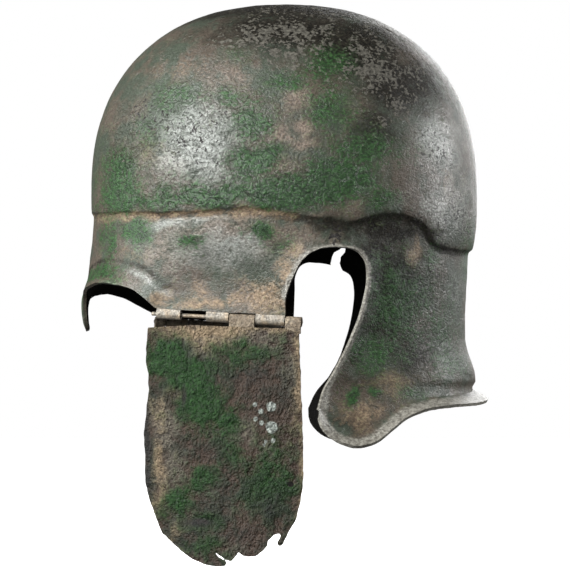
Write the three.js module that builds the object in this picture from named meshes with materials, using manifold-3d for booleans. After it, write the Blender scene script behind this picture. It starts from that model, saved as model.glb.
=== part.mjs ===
// Chalcidian helmet of hammered bronze: a bowl with a step at the brow, a short nasal, arched eye
// openings, ear openings, and a neck guard with an out-turned lip. A cheek guard hangs from the
// rolled knuckles of each side tab. Millimetres, +Z up, the face towards -Y, the wearer's left
// towards +X. The origin is the inside of the crown, where the bowl sits on a head.
import * as THREE from 'three';
import { mergeVertices } from 'three/addons/utils/BufferGeometryUtils.js';
import Module from 'manifold-3d';

const wasm = await Module();
wasm.setup();

const { smoothstep, degToRad, radToDeg, lerp } = THREE.MathUtils;

// Bowl: half sizes at its widest line, and the powers of its rounded outlines
const SHEET = 1.2;
const BOWL_FRONT = 116.4;
const BOWL_REAR = 115.3;
const BOWL_HALF_WIDTH = 94.5;
const BOWL_RISE = 114.3;
const WIDEST_Z = SHEET - BOWL_RISE;
const PLAN_POWER = 2.15;
const SIDE_POWER = 2.36;
const EGG_SHAPE = 0.035;

// Brow step: the height of its edge round the helmet, angle 0 at the face and 180 at the nape
const STEP_DROP = 1.6;
const STEP_LINE = [
  { angle: 0, height: -123.9 },
  { angle: 30, height: -126.6 },
  { angle: 60, height: -129.1 },
  { angle: 78, height: -127.6 },
  { angle: 92, height: -131.4 },
  { angle: 107, height: -136.4 },
  { angle: 112, height: -132.6 },
  { angle: 120, height: -130.4 },
  { angle: 128, height: -132.6 },
  { angle: 134, height: -137.5 },
  { angle: 138, height: -146.6 },
  { angle: 150, height: -148.2 },
  { angle: 180, height: -145.6 },
];

// Wall below the step: distance to the front and the rear, and half width, at each height
const WALL = [
  { height: -262, front: 115.0, rear: 112.0, half: 90.0 },
  { height: -245, front: 115.0, rear: 112.0, half: 87.0 },
  { height: -228, front: 115.0, rear: 112.0, half: 84.6 },
  { height: -224, front: 115.0, rear: 114.0, half: 84.0 },
  { height: -219, front: 115.0, rear: 113.6, half: 83.4 },
  { height: -212, front: 115.0, rear: 111.5, half: 83.0 },
  { height: -205, front: 115.0, rear: 109.2, half: 82.8 },
  { height: -198, front: 115.2, rear: 108.0, half: 83.0 },
  { height: -188, front: 118.4, rear: 108.0, half: 84.0 },
  { height: -180, front: 119.2, rear: 108.3, half: 85.0 },
  { height: -163, front: 118.0, rear: 109.2, half: 88.0 },
  { height: -150, front: 116.6, rear: 109.8, half: 89.8 },
  { height: -140, front: 115.4, rear: 110.5, half: 91.0 },
  { height: -122, front: 114.5, rear: 111.2, half: 92.2 },
];

// Lower edges of the wall: where each runs, and how far its lip turns outwards there
const EYE_EDGE = {
  band: 11,
  curl: 1.6,
  rows: [
    { angle: 0, height: -194.5, lip: 0 },
    { angle: 2.3, height: -193.2, lip: 0 },
    { angle: 3.9, height: -189, lip: 0 },
    { angle: 4.7, height: -182, lip: 0.2 },
    { angle: 6.2, height: -175.6, lip: 1 },
    { angle: 10, height: -171.8, lip: 2.6 },
    { angle: 19, height: -169.2, lip: 3.6 },
    { angle: 28.6, height: -167.9, lip: 3.8 },
    { angle: 37, height: -169.7, lip: 3.8 },
    { angle: 44.1, height: -173.6, lip: 3.4 },
    { angle: 49.4, height: -178.6, lip: 2.2 },
    { angle: 52.5, height: -182.9, lip: 0.2 },
  ],
};
const EAR_EDGE_LEFT = {
  band: 12,
  curl: 1.8,
  rows: [
    { angle: 89.5, height: -187.8, lip: 0 },
    { angle: 89.6, height: -177, lip: 0.8 },
    { angle: 91.2, height: -165.8, lip: 1.4 },
    { angle: 94.3, height: -154.8, lip: 2 },
    { angle: 98.6, height: -150.2, lip: 2.2 },
    { angle: 103.5, height: -149.6, lip: 2.4 },
    { angle: 108.4, height: -150.9, lip: 2.6 },
    { angle: 111.5, height: -156.5, lip: 3 },
    { angle: 112.5, height: -166, lip: 3.5 },
    { angle: 111.8, height: -177, lip: 4 },
    { angle: 110.1, height: -189, lip: 4 },
    { angle: 106.8, height: -203, lip: 4 },
    { angle: 102.5, height: -217, lip: 4 },
    { angle: 99, height: -230, lip: 4.2 },
    { angle: 97.4, height: -242, lip: 4.5 },
  ],
};
const EAR_EDGE_RIGHT = {
  band: 12,
  curl: 1.8,
  rows: [
    { angle: 93.1, height: -187.9, lip: 0 },
    { angle: 93.1, height: -177, lip: 0.6 },
    { angle: 93.1, height: -165, lip: 0.8 },
    { angle: 93.4, height: -155.6, lip: 0.8 },
    { angle: 96.2, height: -147.9, lip: 0.8 },
    { angle: 101.2, height: -147.6, lip: 1 },
    { angle: 107, height: -150.6, lip: 1.4 },
    { angle: 111.6, height: -155.4, lip: 2.4 },
    { angle: 113.2, height: -165, lip: 3.4 },
    { angle: 112.9, height: -177, lip: 4 },
    { angle: 111.4, height: -191, lip: 4 },
    { angle: 108.3, height: -206.2, lip: 4 },
    { angle: 104.2, height: -219, lip: 4 },
    { angle: 99.6, height: -231.5, lip: 4.2 },
    { angle: 97.4, height: -242, lip: 4.5 },
  ],
};
const NECK_EDGE = {
  band: 5,
  curl: 1.1,
  rows: [
    { angle: 97.4, height: -242, lip: 4.5 },
    { angle: 98.8, height: -250.4, lip: 5 },
    { angle: 102.8, height: -257.4, lip: 5 },
    { angle: 108, height: -260.4, lip: 5 },
    { angle: 113.4, height: -258, lip: 5 },
    { angle: 118.6, height: -251, lip: 5.4 },
    { angle: 124, height: -244, lip: 6 },
    { angle: 131, height: -239.8, lip: 7 },
    { angle: 142, height: -237.5, lip: 8 },
    { angle: 155, height: -236.5, lip: 9 },
    { angle: 168, height: -234.8, lip: 9.6 },
    { angle: 180, height: -233, lip: 9.8 },
  ],
};

// Nasal: how far its middle stands out, over what half width, and between which heights
const NASAL_PUSH = 3.2;
const NASAL_HALF_WIDTH = 10;
const NASAL_REACH_ANGLE = 45;
const NASAL_TOP = -158;
const NASAL_FULL = -178;

// Side tab: a flat temple down to the hinge, as a line seen from above
const TAB_X = 68.6;
const TAB_Y = -75;
const TAB_SLANT = 0.24;
const TAB_FLAT_TOP = -134;
const TAB_FLAT_FULL = -178;
const TAB_FRONT_ANGLES = [45, 53];
const TAB_REAR_ANGLES = [90, 98];

// Crack at the top of the right ear opening: y and z of its corners
const EAR_CRACK = [[31.5, -153.5], [33.2, -148], [32.6, -142.8], [34.6, -139.6], [41.4, -137.6],
  [40.8, -139.8], [37.2, -142], [36.2, -145], [37.8, -150.5], [36.6, -155]];
const CRACK_DEPTH = 40;

// Hinge: a pin through knuckles, listed by their stretch along the pin from the front of the tab
const PIN_Y = -73.7;
const PIN_Z = -186.3;
const PIN_SLOPE = degToRad(3.6);
const PIN_RADIUS = 1.2;
const BORE_RADIUS = 1.5;
const KNUCKLE_RADIUS = 3;
const TAIL_THICKNESS = 1;
const TAIL_LENGTH = 9;
const TAIL_INSET = 0.08;
const TAB_KNUCKLES = [[0, 14], [29.2, 42.2], [57.9, 74.6]];
const CHEEK_KNUCKLES_LEFT = [[42.8, 57.3], [75.2, 84]];
const CHEEK_KNUCKLES_RIGHT = [[-7, -0.6], [14.6, 28.6], [42.8, 57.3], [75.2, 82]];
const PIN_SPAN_LEFT = [-3.4, 84.6];
const PIN_SPAN_RIGHT = [-7.8, 82.8];

// Cheek guards: a row for each turn of the outline, along the hinge and down from it
const CHEEK_SHEET = 1.4;
const CHEEK_BULGE = 5;
const CHEEK_MIDDLE = 38;
const CHEEK_HALF_WIDTH = 46;
const CHEEK_BULGE_FULL = 60;
const CHEEK_REACH = 20;
const NAIL_HOLE = { along: 77.5, down: 96, radius: 1.4 };
const CHEEK_LEFT = [
  { along: -5.3, down: 7.6 }, { along: -6.3, down: 20 }, { along: -6.2, down: 30 },
  { along: -4.9, down: 40 }, { along: -6.8, down: 52 }, { along: -8.8, down: 66 },
  { along: -8.7, down: 93 }, { along: -7.1, down: 102 }, { along: -3.7, down: 111 },
  { along: 2, down: 124.8 }, { along: 7.8, down: 129.3 }, { along: 19.4, down: 138.2 },
  { along: 30, down: 142.4 }, { along: 38.8, down: 142.4 }, { along: 42.2, down: 139.3 },
  { along: 46.9, down: 133.8 }, { along: 50.5, down: 136.4 }, { along: 56.7, down: 136.3 },
  { along: 63, down: 130.6 }, { along: 64, down: 127 }, { along: 69, down: 123.6 },
  { along: 70.2, down: 130.6 }, { along: 72.6, down: 129.3 }, { along: 75.6, down: 122.2 },
  { along: 79.8, down: 115 }, { along: 82.6, down: 104 }, { along: 84, down: 88 },
  { along: 84.1, down: 67 }, { along: 83.2, down: 27 }, { along: 82.4, down: 9.4 },
  { along: 60, down: 8.2 }, { along: 40, down: 7.2 }, { along: 20, down: 6.4 },
];
const CHEEK_RIGHT = [
  { along: -6, down: 5 }, { along: -7.4, down: 40 }, { along: -8.6, down: 66 },
  { along: -8.2, down: 92 }, { along: -2.8, down: 112 }, { along: 8, down: 128 },
  { along: 22, down: 137 }, { along: 38, down: 140 }, { along: 54, down: 137 },
  { along: 68, down: 127 }, { along: 78, down: 112 }, { along: 82.6, down: 90 },
  { along: 82.4, down: 50 }, { along: 81.6, down: 9.4 }, { along: 60, down: 8.2 },
  { along: 40, down: 7.2 }, { along: 20, down: 6.2 },
];

// Mesh counts
const WELD = 1e-3;
const COLUMNS = 96;
const BOWL_ROWS = 9;
const WALL_ROWS = 14;
const WALL_FOOT = [{ angle: 0, height: -200 }, { angle: 60, height: -196 }, ...NECK_EDGE.rows];
const SPREAD_RADIUS = 104;
const RELAX_ROUNDS = 6;
const EDGE_SAMPLES = 400;
const CHEEK_CELL = 12;
const CHEEK_COLUMNS = 8;
const CHEEK_ROWS = 13;
const KNUCKLE_SEGMENTS = 8;

// Value of a table's column at a height or angle, on a smooth curve that never overshoots
function tableAt(rows, key, column, at) {
  const x = rows.map((row) => row[key]);
  const y = rows.map((row) => row[column]);
  const last = rows.length - 1;
  const clamped = Math.min(Math.max(at, x[0]), x[last]);
  let i = 0;
  while (i < last - 1 && clamped > x[i + 1]) i += 1;
  const rise = (k) => (y[k + 1] - y[k]) / (x[k + 1] - x[k]);
  const slope = (k) => {
    if (k === 0 || k === last) return rise(Math.min(k, last - 1));
    const before = rise(k - 1);
    const after = rise(k);
    return before * after > 0 ? (2 * before * after) / (before + after) : 0;
  };
  const step = x[i + 1] - x[i];
  const t = (clamped - x[i]) / step;
  const start = (1 + 2 * t) * (1 - t) ** 2 * y[i] + t * (1 - t) ** 2 * step * slope(i);
  return start + t * t * (3 - 2 * t) * y[i + 1] + t * t * (t - 1) * step * slope(i + 1);
}

// Point of a rounded plan outline; a positive angle is on the wearer's left
function planPoint(angle, size, height) {
  const turn = degToRad(angle);
  const round = (value) => Math.sign(value) * Math.abs(value) ** (2 / PLAN_POWER);
  const y = -round(Math.cos(turn)) * (Math.cos(turn) > 0 ? size.front : size.rear);
  const x = round(Math.sin(turn)) * size.half * (1 + (EGG_SHAPE * y) / BOWL_FRONT);
  return new THREE.Vector3(x, y, height);
}

function stepHeight(angle) {
  return tableAt(STEP_LINE, 'angle', 'height', Math.abs(angle));
}

// Outer face of the bowl, from the crown at 0 to the edge of the brow step at 1
function bowlPoint(angle, share) {
  const depth = (WIDEST_Z - stepHeight(angle)) / BOWL_RISE;
  const full = Math.PI / 2 + Math.asin(depth ** (SIDE_POWER / 2));
  const polar = full * share;
  const reach = Math.sin(polar) ** (2 / SIDE_POWER);
  const lift = Math.sign(Math.cos(polar)) * Math.abs(Math.cos(polar)) ** (2 / SIDE_POWER);
  const size = { front: BOWL_FRONT * reach, rear: BOWL_REAR * reach, half: BOWL_HALF_WIDTH * reach };
  return planPoint(angle, size, WIDEST_Z + BOWL_RISE * lift);
}

// The wall is laid out flat round a drum, where edges and distances along the sheet are easy
function drumPoint(angle, height) {
  const turn = degToRad(angle);
  return new THREE.Vector3(Math.sin(turn) * SPREAD_RADIUS, -Math.cos(turn) * SPREAD_RADIUS, height);
}

function drumAngle(point) {
  return radToDeg(Math.atan2(point.x, -point.y));
}

// Evenly spread samples of an edge on the drum, each with the lip that it has there
function sampleEdge(edge, side) {
  const knots = edge.rows.map((row) => new THREE.Vector3(row.angle, row.height, row.lip));
  return new THREE.CatmullRomCurve3(knots, false, 'centripetal').getPoints(EDGE_SAMPLES)
    .map((knot) => ({
      angle: side * knot.x,
      height: knot.y,
      lip: knot.z,
      place: drumPoint(side * knot.x, knot.y),
    }));
}

// Edges of one side from the nasal to the nape, with the straight foot of the side tab among them
function sideEdges(side) {
  const ear = side > 0 ? EAR_EDGE_LEFT : EAR_EDGE_RIGHT;
  const tabFoot = { band: 1, curl: 1, rows: [EYE_EDGE.rows.at(-1), ear.rows[0]] };
  return [EYE_EDGE, tabFoot, ear, NECK_EDGE]
    .map((edge) => ({ ...edge, samples: sampleEdge(edge, side) }));
}

const EDGES = { 1: sideEdges(1), '-1': sideEdges(-1) };

// How far the wall stands out at a place because an edge near it turns outwards
function lipAt(angle, height) {
  const place = drumPoint(angle, height);
  const lifts = EDGES[angle < 0 ? -1 : 1].map((edge) => {
    let near = edge.samples[0];
    for (const sample of edge.samples) {
      if (sample.place.distanceToSquared(place) < near.place.distanceToSquared(place)) near = sample;
    }
    const gone = Math.min(near.place.distanceTo(place) / edge.band, 1);
    return near.lip * (1 - gone) ** edge.curl;
  });
  return Math.max(...lifts);
}

// Outer face of the wall at a height below the brow step
function wallPoint(angle, height) {
  const column = (name) => tableAt(WALL, 'height', name, height);
  const size = { front: column('front'), rear: column('rear'), half: column('half') };
  const point = planPoint(angle, size, height);
  const side = Math.sign(point.x);
  const turned = Math.abs(angle);
  const low = 1 - smoothstep(height, TAB_FLAT_FULL, TAB_FLAT_TOP);
  const flat = low * smoothstep(turned, ...TAB_FRONT_ANGLES) * (1 - smoothstep(turned, ...TAB_REAR_ANGLES));
  const tabX = TAB_X + (point.y - TAB_Y) * TAB_SLANT;
  point.x = lerp(point.x, side * tabX, flat);
  const outward = new THREE.Vector3(point.x / size.half ** 2, point.y / size.rear ** 2, 0).normalize();
  point.addScaledVector(outward, lipAt(angle, height));
  if (turned < NASAL_REACH_ANGLE) {
    const ridge = Math.exp(-((point.x / NASAL_HALF_WIDTH) ** 2));
    point.y -= NASAL_PUSH * ridge * (1 - smoothstep(height, NASAL_FULL, NASAL_TOP));
  }
  return point;
}

// Whether a place on the drum is above the lower edges: an even-odd test against their outline
function insideWall(place) {
  const angle = Math.abs(drumAngle(place));
  const samples = EDGES[drumAngle(place) < 0 ? -1 : 1].flatMap((edge) => edge.samples);
  const corners = samples.map((sample) => [Math.abs(sample.angle), sample.height]);
  const loop = [[0, 0], ...corners, [180, 0]];
  let inside = false;
  for (let i = 0; i < loop.length; i += 1) {
    const [ax, ay] = loop[i];
    const [bx, by] = loop[(i + 1) % loop.length];
    const crossing = ((bx - ax) * (place.z - ay)) / (by - ay) + ax;
    if (ay > place.z !== by > place.z && angle < crossing) inside = !inside;
  }
  return inside;
}

function bareGeometry(geometry) {
  const bare = geometry.clone();
  bare.deleteAttribute('normal');
  bare.deleteAttribute('uv');
  return mergeVertices(bare, WELD);
}

function placesOf(geometry) {
  const attribute = geometry.attributes.position;
  return Array.from({ length: attribute.count }, (_, i) => (
    new THREE.Vector3().fromBufferAttribute(attribute, i)));
}

// Edges that only one triangle uses, as pairs in that triangle's own direction
function openEdges(triangles) {
  const seen = new Map();
  for (const [a, b, c] of triangles) {
    for (const [from, to] of [[a, b], [b, c], [c, a]]) seen.set(`${from} ${to}`, [from, to]);
  }
  return [...seen.values()].filter(([from, to]) => !seen.has(`${to} ${from}`));
}

function trianglesOf(geometry) {
  const index = geometry.index.array;
  return Array.from({ length: index.length / 3 }, (_, i) => [...index.slice(3 * i, 3 * i + 3)]);
}

function nearestOf(spots, place) {
  return spots.reduce((best, spot) => (
    spot.distanceToSquared(place) < best.distanceToSquared(place) ? spot : best));
}

// Trims a sheet of square cells to an outline: whole cells go, then the rim is drawn onto the
// outline, its corners onto the outline's corners, and the places between are evened out, first
// along the rim and then over the sheet
function trimSheet({ places, triangles, inside, outline, corners, isFixed, settle }) {
  const kept = [];
  for (let i = 0; i < triangles.length; i += 2) {
    const cell = [...new Set([...triangles[i], ...triangles[i + 1]])];
    const centre = new THREE.Vector3();
    cell.forEach((v) => centre.addScaledVector(places[v], 1 / cell.length));
    if (inside(centre)) kept.push(triangles[i], triangles[i + 1]);
  }
  const rimEdges = openEdges(kept);
  const rim = new Set(rimEdges.flat().filter((v) => !isFixed(places[v])));
  const before = new Map(rimEdges.map(([from, to]) => [to, from]));
  const after = new Map(rimEdges);
  rim.forEach((v) => places[v].copy(nearestOf(outline, places[v])));
  const pinned = new Set();
  for (const corner of corners) {
    const taker = [...rim].reduce((best, v) => (
      places[v].distanceToSquared(corner) < places[best].distanceToSquared(corner) ? v : best));
    places[taker].copy(corner);
    pinned.add(taker);
  }
  for (let round = 0; round < RELAX_ROUNDS; round += 1) {
    for (const v of rim) {
      if (!pinned.has(v)) {
        const middle = places[before.get(v)].clone().add(places[after.get(v)]).multiplyScalar(0.5);
        places[v].copy(nearestOf(outline, settle(middle)));
      }
    }
  }
  const near = new Map();
  for (const [a, b, c] of kept) {
    for (const [v, others] of [[a, [b, c]], [b, [a, c]], [c, [a, b]]]) {
      if (!near.has(v)) near.set(v, new Set());
      others.forEach((other) => near.get(v).add(other));
    }
  }
  for (let round = 0; round < RELAX_ROUNDS; round += 1) {
    for (const [v, others] of near) {
      if (!rim.has(v) && !isFixed(places[v])) {
        const middle = new THREE.Vector3();
        others.forEach((other) => middle.addScaledVector(places[other], 1 / others.size));
        places[v].copy(settle(middle));
      }
    }
  }
  return kept;
}

// Closed sheet of metal from one face: the face, its copy a thickness inside, and the rim between
function thicken(places, triangles, thickness) {
  const face = new THREE.BufferGeometry();
  face.setAttribute('position', new THREE.Float32BufferAttribute(places.flatMap((p) => [...p]), 3));
  face.setIndex(triangles.flat());
  const outer = mergeVertices(face, WELD);
  outer.computeVertexNormals();
  const skin = trianglesOf(outer).filter(([a, b, c]) => a !== b && b !== c && c !== a);
  const normals = outer.attributes.normal;
  const front = placesOf(outer);
  const back = front.map((p, i) => (
    p.clone().addScaledVector(new THREE.Vector3().fromBufferAttribute(normals, i), -thickness)));
  const count = front.length;
  const index = [...skin, ...skin.map(([a, b, c]) => [a + count, c + count, b + count])];
  for (const [a, b] of openEdges(skin)) {
    index.push([b, a, a + count], [b, a + count, b + count]);
  }
  const closed = new THREE.BufferGeometry();
  closed.setAttribute('position', new THREE.Float32BufferAttribute(
    [...front, ...back].flatMap((p) => [...p]), 3));
  closed.setIndex(index.flat());
  return closed;
}

// Solid for joining and cutting, and back
function toSolid(geometry) {
  const merged = bareGeometry(geometry);
  const mesh = new wasm.Mesh({
    numProp: 3,
    vertProperties: new Float32Array(merged.attributes.position.array),
    triVerts: new Uint32Array(merged.index.array),
  });
  return new wasm.Manifold(mesh);
}

function meshGeometry(solid) {
  const mesh = solid.getMesh();
  const geometry = new THREE.BufferGeometry();
  geometry.setAttribute('position', new THREE.BufferAttribute(mesh.vertProperties, 3));
  geometry.setIndex(new THREE.BufferAttribute(mesh.triVerts, 1));
  return geometry;
}

// The main body of a joined or cut solid, without the slivers that a welded cut can leave
function toGeometry(solid) {
  const bodies = toSolid(meshGeometry(solid)).decompose();
  const largest = bodies.reduce((best, body) => (body.volume() > best.volume() ? body : best));
  return meshGeometry(largest);
}

function mirrored(geometry) {
  const copy = bareGeometry(geometry);
  copy.scale(-1, 1, 1);
  const index = trianglesOf(copy).flatMap(([a, b, c]) => [a, c, b]);
  copy.setIndex(index);
  return copy;
}

// Left hinge: its pin's front end, and directions along the pin to the rear, out, and up across both
const TAB_TURN = Math.atan(TAB_SLANT);
const PIN_X = TAB_X + (PIN_Y - TAB_Y) * TAB_SLANT - KNUCKLE_RADIUS / Math.cos(TAB_TURN);
const PIN_FRONT = new THREE.Vector3(PIN_X, PIN_Y, PIN_Z);
const ALONG_TAB = new THREE.Vector3(Math.sin(TAB_TURN), Math.cos(TAB_TURN), 0);
const OUT = new THREE.Vector3(Math.cos(TAB_TURN), -Math.sin(TAB_TURN), 0);
const ALONG_PIN = ALONG_TAB.clone().multiplyScalar(Math.cos(PIN_SLOPE))
  .add(new THREE.Vector3(0, 0, -Math.sin(PIN_SLOPE)));
const UP_ACROSS = OUT.clone().cross(ALONG_PIN);

// Places a profile drawn out-and-up so that it runs along the pin between two stretches
function alongPin(profile, [from, to], segments) {
  const geometry = new THREE.ExtrudeGeometry(profile, {
    depth: to - from,
    bevelEnabled: false,
    curveSegments: segments,
  });
  const start = PIN_FRONT.clone().addScaledVector(ALONG_PIN, to);
  const towardsFront = ALONG_PIN.clone().negate();
  const frame = new THREE.Matrix4().makeBasis(OUT, UP_ACROSS, towardsFront).setPosition(start);
  return geometry.applyMatrix4(frame);
}

// Rolled knuckle: a ring round the pin with a tail that goes up or down into its sheet
function knuckle(span, direction) {
  const tailOuter = KNUCKLE_RADIUS - TAIL_INSET;
  const tailInner = tailOuter - TAIL_THICKNESS;
  const tailFoot = Math.sqrt(KNUCKLE_RADIUS ** 2 - tailInner ** 2);
  const shape = new THREE.Shape();
  shape.moveTo(tailInner, tailFoot);
  shape.absarc(0, 0, KNUCKLE_RADIUS, Math.atan2(tailFoot, tailInner), 2 * Math.PI, false);
  shape.lineTo(tailOuter, 1);
  shape.lineTo(tailOuter, TAIL_LENGTH);
  shape.lineTo(tailInner, TAIL_LENGTH);
  const bore = new THREE.Path();
  bore.absarc(0, 0, BORE_RADIUS, 0, 2 * Math.PI, true);
  shape.holes.push(bore);
  const solid = alongPin(shape, span, KNUCKLE_SEGMENTS);
  if (direction > 0) return solid;
  const turnOver = new THREE.Matrix4().makeRotationAxis(OUT, Math.PI);
  const middle = PIN_FRONT.clone().addScaledVector(ALONG_PIN, (span[0] + span[1]) / 2);
  return solid.translate(-middle.x, -middle.y, -middle.z).applyMatrix4(turnOver)
    .translate(middle.x, middle.y, middle.z);
}

function makeHelmetShell() {
  const bowl = new THREE.CylinderGeometry(1, 1, 1, COLUMNS, BOWL_ROWS, true);
  const bowlUv = bowl.attributes.uv;
  const bowlPlaces = Array.from({ length: bowlUv.count }, (_, i) => (
    bowlPoint(bowlUv.getX(i) * 360 - 180, 1 - bowlUv.getY(i))));

  const wall = new THREE.CylinderGeometry(1, 1, 1, COLUMNS, WALL_ROWS, true);
  const wallUv = wall.attributes.uv;
  for (let i = 0; i < wallUv.count; i += 1) {
    const angle = wallUv.getX(i) * 360 - 180;
    const foot = tableAt(WALL_FOOT, 'angle', 'height', Math.abs(angle));
    const top = stepHeight(angle) - STEP_DROP;
    const share = wallUv.getY(i);
    const place = drumPoint(angle, lerp(foot, top, share));
    wall.attributes.position.setXYZ(i, place.x, place.y, place.z);
  }
  const drum = bareGeometry(wall);
  const places = placesOf(drum);
  const edges = [...EDGES[1], ...EDGES[-1]];
  const atTop = (p) => Math.abs(p.z - stepHeight(drumAngle(p)) + STEP_DROP) < 0.01;
  const wallTriangles = trimSheet({
    places,
    triangles: trianglesOf(drum),
    inside: insideWall,
    outline: edges.flatMap((edge) => edge.samples.map((sample) => sample.place)),
    corners: edges.map((edge) => edge.samples[0].place),
    isFixed: atTop,
    settle: (p) => drumPoint(drumAngle(p), p.z),
  });
  const wallPlaces = places.map((p) => wallPoint(drumAngle(p), p.z));

  const step = new THREE.CylinderGeometry(1, 1, 1, COLUMNS, 1, true);
  const stepUv = step.attributes.uv;
  const stepPlaces = Array.from({ length: stepUv.count }, (_, i) => {
    const angle = stepUv.getX(i) * 360 - 180;
    return stepUv.getY(i) > 0.5 ? bowlPoint(angle, 1) : wallPoint(angle, stepHeight(angle) - STEP_DROP);
  });

  const sheets = [
    { places: bowlPlaces, triangles: trianglesOf(bowl) },
    { places: stepPlaces, triangles: trianglesOf(step) },
    { places: wallPlaces, triangles: wallTriangles },
  ];
  let base = 0;
  const allTriangles = [];
  for (const sheet of sheets) {
    const start = base;
    sheet.triangles.forEach((corners) => allTriangles.push(corners.map((v) => v + start)));
    base += sheet.places.length;
  }
  const skin = thicken(sheets.flatMap((sheet) => sheet.places), allTriangles, SHEET);

  const crackShape = new THREE.Shape(EAR_CRACK.map(([y, z]) => new THREE.Vector2(y, z)));
  const crack = new THREE.ExtrudeGeometry(crackShape, { depth: CRACK_DEPTH, bevelEnabled: false });
  const standUp = new THREE.Matrix4().makeBasis(
    new THREE.Vector3(0, 1, 0), new THREE.Vector3(0, 0, 1), new THREE.Vector3(1, 0, 0));
  crack.applyMatrix4(standUp.setPosition(-BOWL_HALF_WIDTH - CRACK_DEPTH / 2, 0, 0));

  let solid = toSolid(skin).subtract(toSolid(crack));
  for (const span of TAB_KNUCKLES) {
    const left = knuckle(span, 1);
    solid = solid.add(toSolid(left)).add(toSolid(mirrored(left)));
  }
  return toGeometry(solid);
}

// Cheek guard in its place under the left hinge: a bulged sheet cut to its outline
function makeCheekGuard(outlineRows, spans, hole) {
  const outline = new THREE.Shape(outlineRows.map((row) => new THREE.Vector2(row.along, -row.down)));
  if (hole) {
    const nailHole = new THREE.Path();
    nailHole.absarc(hole.along, -hole.down, hole.radius, 0, 2 * Math.PI, true);
    outline.holes.push(nailHole);
  }
  const cutter = new THREE.ExtrudeGeometry(outline, {
    depth: CHEEK_REACH,
    bevelEnabled: false,
    curveSegments: KNUCKLE_SEGMENTS,
  });
  const frame = new THREE.Matrix4().makeBasis(ALONG_TAB, new THREE.Vector3(0, 0, 1), OUT);
  cutter.applyMatrix4(frame.setPosition(PIN_FRONT));

  const width = CHEEK_COLUMNS * CHEEK_CELL;
  const height = CHEEK_ROWS * CHEEK_CELL;
  const sheet = new THREE.PlaneGeometry(width, height, CHEEK_COLUMNS, CHEEK_ROWS);
  sheet.translate(CHEEK_MIDDLE, CHEEK_CELL - height / 2, 0);
  const flat = bareGeometry(sheet);
  const shaped = placesOf(flat).map((p) => {
    const across = (p.x - CHEEK_MIDDLE) / CHEEK_HALF_WIDTH;
    const bulge = CHEEK_BULGE * (1 - across ** 2) * smoothstep(-p.y, 0, CHEEK_BULGE_FULL);
    return PIN_FRONT.clone().addScaledVector(ALONG_TAB, p.x)
      .addScaledVector(OUT, KNUCKLE_RADIUS + bulge).add(new THREE.Vector3(0, 0, p.y));
  });
  let solid = toSolid(thicken(shaped, trianglesOf(flat), CHEEK_SHEET)).intersect(toSolid(cutter));
  for (const span of spans) solid = solid.add(toSolid(knuckle(span, -1)));
  return toGeometry(solid);
}

function centroidOf(geometry) {
  const places = placesOf(geometry);
  const sum = new THREE.Vector3();
  let volume = 0;
  for (const [a, b, c] of trianglesOf(geometry).map((t) => t.map((v) => places[v]))) {
    const part = a.dot(b.clone().cross(c)) / 6;
    volume += part;
    sum.addScaledVector(a.clone().add(b).add(c), part / 4);
  }
  return sum.divideScalar(volume);
}

// Turns a cheek guard about its pin until its weight is straight below the pin
function hangFreely(geometry) {
  const arm = centroidOf(geometry).sub(PIN_FRONT);
  const swing = Math.atan2(arm.dot(OUT), -arm.dot(UP_ACROSS));
  const turn = new THREE.Matrix4().makeRotationAxis(ALONG_PIN, swing);
  return geometry.translate(-PIN_FRONT.x, -PIN_FRONT.y, -PIN_FRONT.z).applyMatrix4(turn)
    .translate(PIN_FRONT.x, PIN_FRONT.y, PIN_FRONT.z);
}

function makePin(span) {
  const shape = new THREE.Shape();
  shape.absarc(0, 0, PIN_RADIUS, 0, 2 * Math.PI, false);
  return bareGeometry(alongPin(shape, span, KNUCKLE_SEGMENTS));
}

const helmet = new THREE.Group();

function addPiece(name, geometry, material) {
  const mesh = new THREE.Mesh(geometry, material);
  mesh.name = name;
  helmet.add(mesh);
}

const bronze = () => new THREE.MeshStandardMaterial({ color: '#5f6353', roughness: 0.62, metalness: 0.45 });
const crusted = () => new THREE.MeshStandardMaterial({ color: '#4c5440', roughness: 0.85, metalness: 0.25 });
const worn = () => new THREE.MeshStandardMaterial({ color: '#7d7a6e', roughness: 0.5, metalness: 0.6 });

addPiece('helmet_shell', makeHelmetShell(), bronze());
addPiece('hinge_pin_left', makePin(PIN_SPAN_LEFT), worn());
addPiece('hinge_pin_right', mirrored(makePin(PIN_SPAN_RIGHT)), worn());
const leftGuard = makeCheekGuard(CHEEK_LEFT, CHEEK_KNUCKLES_LEFT, NAIL_HOLE);
addPiece('cheek_guard_left', hangFreely(leftGuard), crusted());
const rightGuard = makeCheekGuard(CHEEK_RIGHT, CHEEK_KNUCKLES_RIGHT, null);
addPiece('cheek_guard_right', mirrored(hangFreely(rightGuard)), crusted());

export default helmet;
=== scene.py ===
"""Chalcidian helmet of hammered bronze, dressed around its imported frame.

Metres, +Z up, the face towards -Y, the wearer's left towards +X. The shapes are worked out in
millimetres, from the same named sizes as the solids, and turned to metres when a mesh is made.
"""

from __future__ import annotations

import logging
import math
from dataclasses import dataclass, field
from enum import Enum

import bmesh
import bpy
import numpy as np
from mathutils import Matrix, Vector, noise
from mathutils.kdtree import KDTree

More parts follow.
